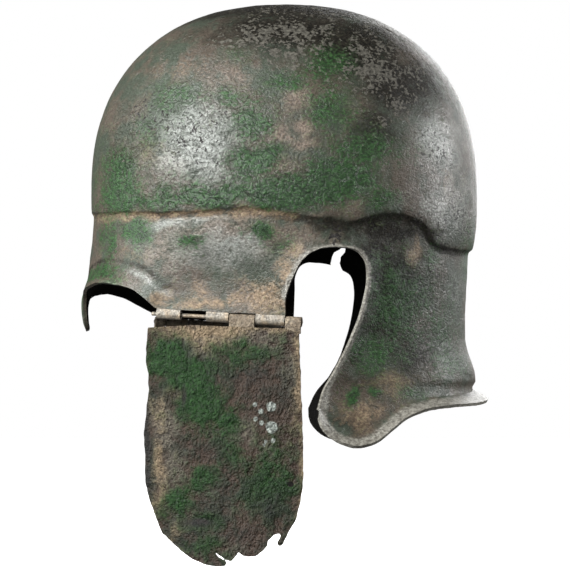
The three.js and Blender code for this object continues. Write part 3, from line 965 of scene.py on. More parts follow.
        low, high = self.fleck_span
        fleck = add_node(tree, "MapRange", None, {
            "Value": fine, "From Min": low, "From Max": high,
            "To Min": 1 - self.mottle, "To Max": 1 + self.mottle,
        })
        flecks = add_node(tree, "CombineColor", None, {0: fleck, 1: fleck, 2: fleck})
        colour = add_node(
            tree, "Mix", MULTIPLY_COLOUR, {"Factor": 1.0, 6: colour, 7: flecks}, MIXED_COLOUR
        )
        bump = add_node(
            tree, "Bump", None, {"Height": height, "Strength": 1.0, "Distance": self.relief * MM}
        )
        shader = add_node(tree, "BsdfPrincipled", None, {
            "Base Color": colour, "Roughness": weigh(tree, (rough, 1.0), (speck, self.speck_rough)),
            "Metallic": self.metallic, "Specular IOR Level": gloss, "Normal": bump,
        })
        add_node(tree, "OutputMaterial", None, {"Surface": shader})
        return material


# Hammered bronze sheet whose skin turned to a smooth, waxy grey and green patina: a soft sheen with
# green patches, brown earth in the hollows and pale flakes on the crown, with painted shade under the
# step, behind the ears and on the neck, and painted highlights on the dome and the eye flanges.
SMOOTH_PATINA = Patina(
    name="smooth_grey_green_patina",
    base="#3a4136", second="#4c443b", shade="#1a1814",
    layers=(
        Layer("rose", "#796b60", "#5f5248", ragged=0.4, fine=0.15, rough=0.42),
        # Light grey crust, with painted highlights on the dome and along the eye flanges.
        Layer("pale_and_highlight", "#868a85", "#6d706a", ragged=0.35, fine=0.15, rough=0.28, gloss=0.6),
        # Brown-black corrosion on the crown, and painted shade under the step, in the hollows behind
        # the ears, down the neck and along the eye flanges' crease.
        Layer("dark_and_shade", "#24211b", "#100f0c", rough=0.4, gloss=0.2),
        Layer("tan", "#85725c", "#6b5a47", ragged=0.4, fine=0.15, rough=0.5),
        Layer("green", "#264420", "#162a14", rough=0.36, height=0.15),
        # Light wear along the edges, and a painted highlight on the neck guard's lip.
        Layer("rim", "#7c7a72", "#65625a", 0.25, 0.8, 0.15, 0.15, rough=0.32),
        Layer("pit", "#1f1b17", "#120f0e", 0.5, 0.62, 0.3, 0.0, 0.8, rough=0.45),
        Layer("flake", "#4d4b44", "#3a3832", 0.5, 0.66, 0.6, 0.6, 0.3, rough=0.5, gloss=0.3,
              height=0.1),
    ),
    metallic=0.05, roughness=0.36, relief=0.75, speck_height=0.28, wrinkle_height=0.42,
    stretch=1.4, gloss=0.45, mottle=0.34,
)

# The same sheet under thick corrosion: dull, coarse and blistered, in dark green and purple-brown.
CRUSTED_PATINA = Patina(
    name="rough_green_brown_crust",
    base="#3f332a", second="#22261c", shade="#100f0c",
    layers=(
        Layer("grey", "#5d584d", "#47423a", ragged=0.5, fine=0.1, rough=0.5, gloss=0.35),
        Layer("tan", "#80705a", "#6f604b", ragged=0.5, fine=0.1, rough=0.55, gloss=0.35),
        Layer("green", "#1c3a16", "#152c11", ragged=0.5, fine=0.1, rough=0.42, gloss=0.3,
              height=0.05),
        # Brown-black corrosion, and painted shade on the turned-in strip along the front edge.
        Layer("dark_and_shade", "#1f1b18", "#0f120e", ragged=0.3, fine=0.2, rough=0.6),
        Layer("lime", "#999f99", "#6b726b", 0.42, 0.62, 0.0, 0.12, rough=0.8, height=0.05),
    ),
    metallic=0.05, roughness=0.38, relief=2.2, patch_height=0.9, speck_height=0.15,
    grain_height=0.12, pebble_height=0.45, patch_mm=3.6, speck_mm=1.1, grain_mm=0.6, mottle=0.3,
    gloss=0.35,
)

# The inside of the sheet, never cleaned: oxide, made nearly black as painted shade, that gives back
# little light.
INNER_OXIDE_AND_SHADE = Patina(
    name="black_inner_oxide_and_shade",
    base="#13110f", second="#181613", shade="#0c0b09",
    layers=(),
    metallic=0.0, roughness=0.75, relief=0.6, gloss=0.2,
)

# The crust where the cheek guard is rolled round the rod: paler, with earth in it.
ROLLED_CRUST = Patina(
    name="rolled_brown_crust",
    base="#8f8370", second="#6f6353", shade="#2a241d",
    layers=(),
    metallic=0.05, roughness=0.6, relief=1.0, cloud_mm=6.0, patch_mm=3.0,
)

# Rolled knuckles and their rod, rubbed by use: brown bronze with grey wear and tan earth.
WORN_BRONZE = Patina(
    name="worn_brown_bronze",
    base="#7c766b", second="#877a67", shade="#2e2922",
    layers=(),
    metallic=0.2, roughness=0.42, relief=0.4, cloud_mm=6.0, patch_mm=3.0,
)


# Pieces


@dataclass(frozen=True)
class ShellZones:
    """Parts of the shell, in millimetres, with their own wear, painted shade and painted highlight: 1
    inside and 0 outside.
    """

    tab_y: tuple[Span, Span] = ((-78.0, -70.0), (-4.0, 2.0))
    tab_foot: Span = (-182.0, -176.0)
    valley_gap: tuple[Span, Span] = ((2.5, 5.0), (7.0, 16.0))
    valley_y: tuple[Span, Span] = ((26.0, 36.0), (60.0, 80.0))
    valley_foot: Span = (-228.0, -208.0)
    eye_rear: Span = (-68.0, -60.0)
    eye_foot: Span = (-190.0, -184.0)
    brow_front: Span = (-106.0, -84.0)
    brow_waver: Rows = ((5.0, 6.0, 51.0),)
    nasal_rear: Span = (-113.0, -106.0)
    earth_rear: Span = (-5.0, 25.0)
    neck_rim: Span = (-236.0, -222.0)

    def hinge_foot(self, points: np.ndarray) -> np.ndarray:
        """The side tab's lower edge, which the hinge covers."""
        above = smooth_between(points[:, 2], *self.tab_foot)
        return within(points[:, 1], *self.tab_y) * (1 - above)

    def valley(self, points: np.ndarray, near: np.ndarray) -> np.ndarray:
        """The hollow behind the ear, inside the turned-out lip, where shade is painted."""
        behind = within(points[:, 1], *self.valley_y) * within(near, *self.valley_gap)
        return behind * smooth_between(points[:, 2], *self.valley_foot)

    def eye(self, points: np.ndarray) -> np.ndarray:
        """The surroundings of the eye arches."""
        ahead = 1 - smooth_between(points[:, 1], *self.eye_rear)
        return ahead * smooth_between(points[:, 2], *self.eye_foot)

    def front(self, points: np.ndarray) -> np.ndarray:
        """The front part of the brow, with a wavering end."""
        return 1 - smooth_between(points[:, 1] + relief(points, self.brow_waver), *self.brow_front)

    def nasal(self, points: np.ndarray) -> np.ndarray:
        """The nasal."""
        return 1 - smooth_between(points[:, 1], *self.nasal_rear)

    def earthy(self, points: np.ndarray) -> np.ndarray:
        """The front half of the wall, where earth stays under the step."""
        return 1 - smooth_between(points[:, 1], *self.earth_rear)

    def neck(self, points: np.ndarray) -> np.ndarray:
        """The neck guard's lower end, where the bright rim is wider and is a painted highlight on the
        lip.
        """
        return 1 - smooth_between(points[:, 2], *self.neck_rim)


@dataclass
class HelmetShell:
    """The helmet's main sheet, from the crown down to its lips, in one piece.

    The marks' strengths and the lines round the eye arches come last, after the stains.
    """

    form: HelmetForm
    zones: ShellZones = ShellZones()
    columns: int = 360
    bowl_rows: int = 80
    step_rows: int = 4
    wall_rows: int = 54
    row_slack: float = 0.01
    sky: float = 500.0
    rim_thickness: float = 2.0
    wall_thickness: float = 1.2
    rim_ease: Span = (1.0, 3.5)
    edge_waver: Rows = ((0.3, 4.0, 3.1), (0.3, 14.0, 7.7))
    waver_fade: float = 0.3
    crack_step: float = 0.4
    crack_angles: Span = (60.0, 150.0)
    crack_samples: int = 361
    soft_rings: int = 4
    soft_rounds: int = 5
    step_reach: Span = (0.8, 1.3)
    softened: Rows = ((1.5, 0, 181, 2), (4.5, 98, 137, 5), (2.5, 60, 150, 3))
    hammer_marks: Rows = ((0.3, 34.0, 0.0), (0.16, 12.0, 5.0), (0.1, 4.5, 9.0))
    pit_depth: float = 0.35
    pit_pattern: Span = (5.5, 2.0)
    pit_edge: Span = (0.42, 0.7)
    calm_rim: float = 0.35
    calm_ease: Span = (1.0, 8.0)
    sunk: float = 0.35
    step_bumps: Rows = ((0.22, 3.0, 31.0),)
    step_waver: Rows = ((0.5, 10.0, 37.0), (0.25, 3.0, 41.0))
    feet: Rows = ((0, -200), (60, -196))
    crack: Rows = (
        (31.5, -153.5), (33.2, -148), (32.6, -142.8), (34.6, -139.6), (38, -138.4), (41.4, -137.6),
        (40.8, -139.8), (37.2, -142), (36.2, -145), (37, -148), (37.8, -150.5), (36.6, -155),
    )
    dents: Rows = (
        (56, -143, 16, 6, 1.5), (38, -150, 4, 4, 0.8), (74, -150, 4, 10, 0.6), (-2, -103, 14, 9, 0.4),
        (40, -96, 10, 7, 0.4), (-50, -150, 10, 5, 0.3), (88, -205, 12, 12, 0.5),
    )
    green: Stains = Stains((
        (-97, -110, 14, 0.75, 24), (-86, -139, 8, 0.9, 9), (-102, -142, 6, 0.7, 14),
        (-54, -146, 9, 0.65, 6), (-62, -62, 18, 0.5, 12), (-30, -66, 14, 0.6, 7),
        (-20, -78, 12, 0.75), (-22, -104, 12, 0.8, 12), (-40, -121, 46, 0.85, 6),
        (-92, -122, 22, 0.8, 5), (-12, -100, 12, 0.95, 9), (2, -120, 34, 0.85, 10),
        (28, -112, 24, 0.95, 14), (42, -96, 24, 0.65, 12), (22, -72, 18, 0.6, 16),
        (0, -56, 16, 0.6, 8), (-16, -141, 10, 0.85, 5), (-4, -147, 9, 0.5, 6),
        (24, -44, 18, 0.65, 14), (-28, -38, 10, 0.4, 8), (50, -122, 14, 0.6, 9),
        (64, -180, 26, 0.6, 26), (50, -208, 18, 0.6, 14), (72, -232, 12, 0.6, 6),
        (96, -214, 14, 0.7, 9), (52, -160, 12, 0.4), (90, -195, 14, 0.5, 22), (38, -235, 6, 0.8, 5),
        (50, -232, 5, 0.8, 4), (108, -150, 7, 0.5, 22), (-104, -169, 9, 0.8, 5),
        (-80, -86, 12, 0.4, 14), (-50, -112, 20, 0.4, 6), (84, -152, 8, 0.5, 8),
    ))
    tan: Stains = Stains((
        (-92, -130, 14, 0.5, 3), (-50, -129, 18, 0.3, 2.5), (-14, -130, 22, 0.4, 3),
        (-45, -180, 34, 0.55, 4.5), (-14, -178, 16, 0.6, 10), (-2, -162, 6, 0.55, 12),
        (-50, -173, 8, 0.4, 8), (-72, -176, 8, 0.45, 6), (4, -152, 7, 0.5, 5), (-78, -92, 8, 0.4, 9),
        (-92, -154, 10, 0.35, 4), (16, -212, 8, 0.3, 14), (73, -152, 3.5, 0.6, 9),
        (44, -242, 18, 0.4, 10), (60, -228, 20, 0.35, 10), (36, -150, 6, 0.3, 5),
        (-104, -169, 8, 0.35, 3), (90, -108, 3, 0.4, 8), (-60, -46, 14, 0.3, 8),
    ))
    rose: Stains = Stains((
        (7, -66, 12, 0.55, 9), (10, -83, 7, 0.75, 4), (-4, -87, 8, 0.65, 5), (-6, -104, 11, 0.65, 6),
        (-62, -100, 10, 0.4), (-92, -116, 8, 0.35), (-30, -144, 40, 0.6, 12),
        (-70, -150, 14, 0.4, 10), (10, -93, 10, 0.5, 6), (36, -72, 16, 0.3, 12),
        (-30, -52, 16, 0.35, 8), (-40, -140, 20, 0.5, 5), (-20, -132, 16, 0.45, 6), (38, -124, 8, 0.4),
        (14, -134, 10, 0.4, 4), (94, -118, 10, 0.45, 16), (66, -36, 10, 0.3, 8),
    ))
    # Brown-black corrosion on the crown, and painted shade in the hollow under the arc over the ear
    # and down the neck.
    dark_and_shade: Stains = Stains((
        (-6, -3, 80, 1.1, 13), (2, -22, 52, 0.9, 18), (40, -34, 34, 0.95, 24), (62, -54, 28, 0.9, 22),
        (50, -84, 18, 0.6, 22), (-40, -26, 22, 0.45, 12), (58, -141, 18, 1.1, 8),
        (50, -154, 14, 1.1, 14), (62, -170, 20, 1.0, 26), (84, -140, 14, 0.6, 4),
        (24, -138, 12, 0.7, 5), (70, -208, 22, 0.75, 16), (56, -192, 18, 0.75, 22),
        (0, -136, 20, 0.3, 4), (-20, -158, 20, 0.35, 8), (-46, -154, 14, 0.35, 8),
        (-70, -118, 10, 0.3, 3), (36, -246, 16, 0.5, 8), (-100, -178, 6, 0.4, 6),
        (44, -226, 20, 0.5, 12), (30, -96, 12, 0.35, 8), (94, -206, 12, 0.4, 12),
    ))
    # Light grey crust, and painted highlights on the front and the rear of the dome.
    pale_and_highlight: Stains = Stains((
        (-50, -92, 26, 0.65, 28), (86, -86, 20, 0.5, 22), (92, -122, 22, 0.45, 22),
        (-68, -135, 14, 0.6, 5), (-46, -133, 16, 0.5, 4), (-36, -150, 34, 0.6, 13),
        (98, -176, 10, 0.3, 26), (-20, -147, 20, 0.3, 8),
        (-86, -146, 10, 0.3, 6), (-20, -182, 10, 0.3, 3), (60, -126, 12, 0.3, 4),
        (96, -232, 22, 0.35, 4),
    ))
    pit: Stains = Stains((
        (86, -92, 14, 0.38, 20), (98, -128, 12, 0.4, 16), (-48, -86, 24, 0.3, 24),
        (80, -143, 9, 0.62, 5), (92, -149, 9, 0.6, 4), (74, -134, 5, 0.6, 6), (27, -143, 3, 0.7, 5),
        (84, -158, 14, 0.4, 8), (-76, -72, 20, 0.3, 16), (-12, -172, 8, 0.3, 6),
    ))
    flake: Stains = Stains((
        (-4, -30, 50, 0.62, 22), (50, -44, 36, 0.62, 28), (66, -70, 20, 0.5, 18),
        (-56, -46, 30, 0.45, 20), (-88, -84, 14, 0.4, 22), (20, -10, 70, 0.45, 12),
    ))
    crust: Stains = Stains((
        (-50, -95, 40, 0.9, 34), (-40, -122, 60, 1.0, 8), (10, -112, 36, 0.8, 16),
        (-95, -90, 16, 0.8, 30), (-8, -176, 12, 0.7, 12), (60, -150, 24, 0.6, 14),
        (-40, -140, 24, 0.4, 8), (80, -180, 30, 0.3, 40),
    ))
    rose_all_over: float = 0.05
    green_all_over: float = 0.02
    crust_all_over: float = 0.15
    earth_under_step: float = 0.3
    earth_width: float = 9.0
    # Painted shade on the ledge under the step.
    painted_step_shade: float = 0.6
    # Painted shade in the hollow behind the ear.
    painted_valley_shade: float = 0.6
    # Painted shade along the crease round the eye flange.
    painted_fold_shade: float = 0.55
    fold_line: Span = (13.0, 1.8)
    # A painted highlight along the eye flange.
    painted_flange_highlight: float = 0.42
    flange_line: Span = (8.6, 2.2)
    flange_green: float = 0.55
    flange_band: tuple[Span, Span] = ((1.0, 4.0), (10.0, 13.0))
    # Light wear along the edges, wider at the neck guard's lip, where it is a painted highlight as
    # well.
    rim_wear_and_highlight: float = 0.9
    rim_width: float = 3.4
    rim_edge: Span = (0.2, 1.0)
    rim_lost_on_nasal: float = 0.7
    rim_lost_at_eyes: float = 0.55

    @property
    def wall_row(self) -> int:
        """The grid's row where the wall starts."""
        return self.bowl_rows + self.step_rows

    def laid_out(self) -> bmesh.types.BMesh:
        """Lays the whole sheet out as a closed drum of cells.

        Returns:
            The drum, each vertex with its row.
        """
        bm = bmesh.new()
        rows = self.wall_row + self.wall_rows
        bmesh.ops.create_grid(bm, x_segments=self.columns, y_segments=rows, size=0.5)
        layer = bm.verts.layers.float.new("row")
        flat = read_places(bm)
        low, high = flat.min(axis=0), flat.max(axis=0)
        angle = (flat[:, 0] - low[0]) / (high[0] - low[0]) * 360 - 180
        row = (high[1] - flat[:, 1]) / (high[1] - low[1]) * rows
        top = self.form.step_line.at(np.abs(angle)) - self.form.step_drop
        lowest = SizeTable((*self.feet, *(line[:2] for line in self.form.neck.rows)))
        share = np.clip((row - self.wall_row) / self.wall_rows, 0, 1)
        on_wall = row >= self.wall_row - self.row_slack
        hung = top + (lowest.at(np.abs(angle)) - top) * share
        height = np.where(on_wall, hung, self.wall_row - row)
        write_places(bm, self.form.drum(angle, height))
        for vert, value in zip(bm.verts, row.tolist()):
            vert[layer] = value
        bmesh.ops.remove_doubles(bm, verts=bm.verts, dist=MERGE_GAP)
        bm.verts.index_update()
        turn_away(bm, Vector((1, 1, 0)))
        return bm

    def outline(self, side: Side) -> np.ndarray:
        """The edges of one side, with worn unevenness.

        Args:
            side: Which side.

        Returns:
            Rows of angle, height and lip.
        """
        runs = []
        for edge in self.form.edges(side):
            run = edge.samples()
            places = self.form.drum(run[:, 0] * side.value, run[:, 1])
            fade = np.sin(np.linspace(0, math.pi, len(run))) ** self.waver_fade
            waves = tuple((tall, size, seed * side.value) for tall, size, seed in self.edge_waver)
            run[:, 1] += fade * relief(places, waves)
            runs.append(run)
        return np.vstack(runs)

    def closed(self, run: np.ndarray) -> np.ndarray:
        """The outline of the wall above a run of edges, as rows of angle and height."""
        return np.vstack([[(0, self.sky)], run[:, :2], [(180, self.sky)]])

    def crack_on_drum(self) -> np.ndarray:
        """Carries the crack over the right ear from the side view to the drum.

        Returns:
            Rows of angle and height.
        """
        chain = even_steps(np.array([*self.crack, self.crack[0]]), self.crack_step)
        angles = np.linspace(*self.crack_angles, self.crack_samples)
        found = []
        for y, z in chain:
            reach = self.form.plain_wall(-angles, np.full_like(angles, z))[:, 1]
            found.append((float(np.interp(y, reach, angles)), z))
        return np.array(found)

    def lips(self, places: np.ndarray, sides: np.ndarray) -> tuple[np.ndarray, np.ndarray]:
        """How far edges nearby turn the wall outwards, and how far away the nearest edge is.

        Args:
            places: Places on the drum.
            sides: 1 or -1 for each place.

        Returns:
            The lip and the distance at each place.
        """
        lip = np.zeros(len(places))
        gap = np.full(len(places), FAR)
        for side in Side:
            chosen = np.flatnonzero(sides == side.value)
            for edge in self.form.edges(side):
                run = edge.samples()
                tree = tree_of(self.form.drum(run[:, 0] * side.value, run[:, 1]))
                for index in chosen:
                    _, near, distance = tree.find(places[index])
                    turn = run[near, 2] * (1 - min(distance / edge.band, 1)) ** edge.curl
                    lip[index] = max(lip[index], turn)
                    gap[index] = min(gap[index], distance)
        return lip, gap

    def trimmed(self) -> tuple[bmesh.types.BMesh, np.ndarray]:
        """Cuts the drum to the eye, ear and neck edges.

        Returns:
            The drum, and the row of each vertex.
        """
        bm = self.laid_out()
        layer = bm.verts.layers.float["row"]
        first = self.wall_row - self.row_slack
        below = self.wall_row + 1 + self.row_slack
        centres = np.array([f.calc_center_median()[:] for f in bm.faces])
        on_wall = np.array([min(v[layer] for v in f.verts) >= first for f in bm.faces])
        angle, height = angle_of(centres), centres[:, 2]
        keep = np.ones(len(centres), bool)
        outlines, corners = [], []
        for side in Side:
            run = self.outline(side)
            outlines.append(self.form.drum(run[:, 0] * side.value, run[:, 1]))
            mine = on_wall & (np.sign(angle) == side.value)
            spots = np.stack([np.abs(angle), height], axis=1)[mine]
            keep[mine] = inside_outline(spots, self.closed(run))
            for edge in self.form.edges(side):
                start = edge.samples()[:1]
                corners.append(self.form.drum(start[:, 0] * side.value, start[:, 1])[0])
        crack = self.crack_on_drum()
        torn = on_wall & (angle < 0)
        keep[torn] &= ~inside_outline(np.stack([-angle, height], axis=1)[torn], crack)
        outline = np.vstack([*outlines, self.form.drum(-crack[:, 0], crack[:, 1])])
        seen = np.stack([-angle_of(outline), outline[:, 2]], axis=1)
        in_crack = (seen[:, 0] > 0) & inside_outline(seen, crack)
        of_crack = np.arange(len(outline)) >= len(outline) - len(crack)
        in_opening = ~inside_outline(seen, self.closed(self.outline(Side.RIGHT)))
        drawn = outline[~in_crack & ~(of_crack & in_opening)]
        rim = trim_to_outline(bm, keep, drawn, np.array(corners))
        inner = rings_inside(rim, self.soft_rings)
        smooth(bm, [v for v in inner if v[layer] > below], self.soft_rounds)
        bm.verts.index_update()
        return bm, np.array([v[layer] for v in bm.verts])

    def build(self) -> bpy.types.Object:
        """Makes the shell, with its step, lips, hammer marks and corrosion.

        Returns:
            The piece, in its place.
        """
        bm, row = self.trimmed()
        places = read_places(bm)
        angle = angle_of(places)
        wall = row >= self.wall_row - self.row_slack
        lip, gap = np.zeros(len(row)), np.full(len(row), FAR)
        lip[wall], gap[wall] = self.lips(places[wall], np.where(angle[wall] < 0, -1, 1))
        points = self.form.bowl(angle, np.clip(row / self.bowl_rows, 0, 1))
        points[wall] = self.form.wall_points(angle[wall], places[wall, 2], lip[wall])
        step = (row > self.bowl_rows + self.row_slack) & ~wall
        points[step] = self.step_points(angle[step], row[step], points[step])
        write_places(bm, points)
        self.soften_step(bm, row, angle)
        before = tree_of(read_places(bm))
        bmesh.ops.remove_doubles(bm, verts=bm.verts, dist=MERGE_GAP)
        points = read_places(bm)
        same = np.array([before.find(place)[1] for place in points.tolist()])
        near, at_row = gap[same], row[same] - self.bowl_rows
        write_places(bm, self.worn(points, read_normals(bm), near, at_row))
        add_marks(bm, self.marks(points, near, at_row))
        thin_inside(bm, near, self.wall_thickness / self.rim_thickness, self.rim_ease)
        finishes = [SMOOTH_PATINA.build(), INNER_OXIDE_AND_SHADE.build()]
        return finish_mesh("helmet_shell", bm, finishes, self.rim_thickness)

    def step_points(self, angle: np.ndarray, row: np.ndarray, outer: np.ndarray) -> np.ndarray:
        """Points of the step, from the bowl's edge in to the top of the wall.

        Args:
            angle: Degrees round the helmet.
            row: The grid's row of each point.
            outer: The bowl's edge above or beside each point.

        Returns:
            One point a row.
        """
        top = self.form.step_line.at(np.abs(angle)) - self.form.step_drop
        inner = self.form.wall_points(angle, top, np.zeros(len(angle)))
        share = (row - self.bowl_rows) / self.step_rows
        in_reach, down_reach = (share**power for power in self.step_reach)
        return outer + (inner - outer) * np.stack([in_reach, in_reach, down_reach], axis=1)

    def soften_step(self, bm: bmesh.types.BMesh, row: np.ndarray, angle: np.ndarray) -> None:
        """Rounds the step, a little all round and much more in its arc over the ears.

        Args:
            bm: The shell in millimetres.
            row: The grid's row of each vertex.
            angle: Degrees round the helmet.
        """
        across, turned = row - self.bowl_rows, np.abs(angle)
        bm.verts.ensure_lookup_table()
        for reach, first, last, rounds in self.softened:
            near = (across > -reach) & (across < self.step_rows + reach)
            near &= (turned > first) & (turned < last)
            smooth(bm, [bm.verts[int(i)] for i in np.flatnonzero(near)], rounds)

    def worn(self, points: np.ndarray, normals: np.ndarray, near: np.ndarray,
             at_row: np.ndarray) -> np.ndarray:
        """Places of the sheet with hammer marks, dents, pits and an uneven step.

        Args:
            points: Places of the even sheet.
            normals: Its normals.
            near: Distance to the nearest edge.
            at_row: Rows below the bowl's edge.

        Returns:
            One place a row.
        """
        crust = relief(points, self.hammer_marks)
        for y, z, long, tall, depth in self.dents:
            crust -= depth * bell(points[:, 1] - y, long) * bell(points[:, 2] - z, tall)
        crust -= self.pit_depth * smooth_between(
            unevenness(points, *self.pit_pattern), *self.pit_edge
        )
        calm = self.calm_rim + (1 - self.calm_rim) * smooth_between(near, *self.calm_ease)
        step = bell(at_row - self.step_rows / 2, self.step_rows + 1)
        shift = crust * calm - self.sunk + step * relief(points, self.step_bumps)
        moved = points + normals * shift[:, None]
        moved[:, 2] += step * relief(points, self.step_waver)
        return moved

    def marks(self, points: np.ndarray, near: np.ndarray,
              at_row: np.ndarray) -> dict[str, np.ndarray]:
        """How strong each layer of the patina is, painted shade and painted highlights among them.

        Args:
            points: Places of the even sheet.
            near: Distance to the nearest edge.
            at_row: Rows below the bowl's edge.

        Returns:
            The strength at each place, by the layer's marks.
        """
        zones = self.zones
        eye, front = zones.eye(points), zones.front(points)
        # Painted shade on the ledge under the step.
        ledge = (at_row > 0.5) & (at_row < self.step_rows + 1.5)
        below = within(at_row, (0.5, 1.5), (self.step_rows + 1, self.earth_width))
        # A painted highlight along the eye flange.
        painted_flange_highlight = self.painted_flange_highlight * bell(near - self.flange_line[0], self.flange_line[1])
        flange_green = self.flange_green * within(near, *self.flange_band)
        # Painted shade along the crease round the eye flange.
        fold_shade = self.painted_fold_shade * bell(near - self.fold_line[0], self.fold_line[1]) * eye
        # Light wear along the edges, wider at the neck guard's lip, where it is a painted highlight as
        # well.
        width = self.rim_width * (1 + zones.neck(points))
        rim = self.rim_wear_and_highlight * (1 - smooth_between(near / width, *self.rim_edge))
        rim *= 1 - zones.hinge_foot(points)
        rim *= 1 - self.rim_lost_on_nasal * zones.nasal(points)
        rim *= 1 - self.rim_lost_at_eyes * eye
        earth = self.earth_under_step * below * zones.earthy(points)
        # Painted shade in the hollow behind the ear.
        valley = self.painted_valley_shade * zones.valley(points, near)
        # The painted highlight on the flange's rear part; its front part gets green growth instead.
        flange_highlight = painted_flange_highlight * eye * (1 - front)
        growth = flange_green * eye * front
        return {
            "rose": self.rose.at(points) + self.rose_all_over,
            "tan": self.tan.at(points) + earth,
            "pale_and_highlight": np.maximum(self.pale_and_highlight.at(points), flange_highlight),
            "rim": rim,
            "green": np.maximum(self.green.at(points), growth) + self.green_all_over,
            "dark_and_shade": np.max([self.dark_and_shade.at(points), self.painted_step_shade * ledge, valley, fold_shade], axis=0),
            "pit": self.pit.at(points),
            "flake": self.flake.at(points),
            "crust": self.crust.at(points) + self.crust_all_over,
        }


@dataclass(frozen=True)
class HingeFrame:
    """Where one side's hinge lies: its pin's front end and its directions."""

    side: Side
    pin_x: float = 65.8268
    pin_y: float = -73.7
    pin_z: float = -186.3
    slant: float = 0.24
    slope: float = math.radians(3.6)

    def axes(self) -> tuple[Vector, Vector, Vector, Vector]:
        """Finds the left side's directions.

        Returns:
            Along the tab, out, along the pin, and up across both.
        """
        turn = math.atan(self.slant)
        along = Vector((math.sin(turn), math.cos(turn), 0))
        out = Vector((math.cos(turn), -math.sin(turn), 0))
        pin = along * math.cos(self.slope) + Vector((0, 0, -math.sin(self.slope)))
        return along, out, pin, out.cross(pin)

    def place(self, bm: bmesh.types.BMesh, along_pin: bool = True, swing: float = 0.0) -> None:
        """Takes a mesh drawn as along, up and out to its place on this side.

        Args:
            bm: The mesh, with x along, y up and z out.
            along_pin: Whether x runs along the pin, or level along the tab.
            swing: Degrees to turn about the pin.
        """
        along, out, pin, up = self.axes()
        start = Vector((self.pin_x, self.pin_y, self.pin_z))
        across = up if along_pin else Vector((0, 0, 1))
        columns = (pin if along_pin else along, across, out)
        basis = Matrix([[c[i] for c in columns] for i in range(3)]).to_4x4()
        swung = Matrix.Rotation(math.radians(swing), 4, pin)
        bmesh.ops.transform(bm, matrix=Matrix.Translation(start) @ swung @ basis, verts=bm.verts)
        if self.side is Side.RIGHT:
            bmesh.ops.transform(bm, matrix=Matrix.Diagonal((-1, 1, 1, 1)), verts=bm.verts)
            bmesh.ops.reverse_faces(bm, faces=bm.faces)


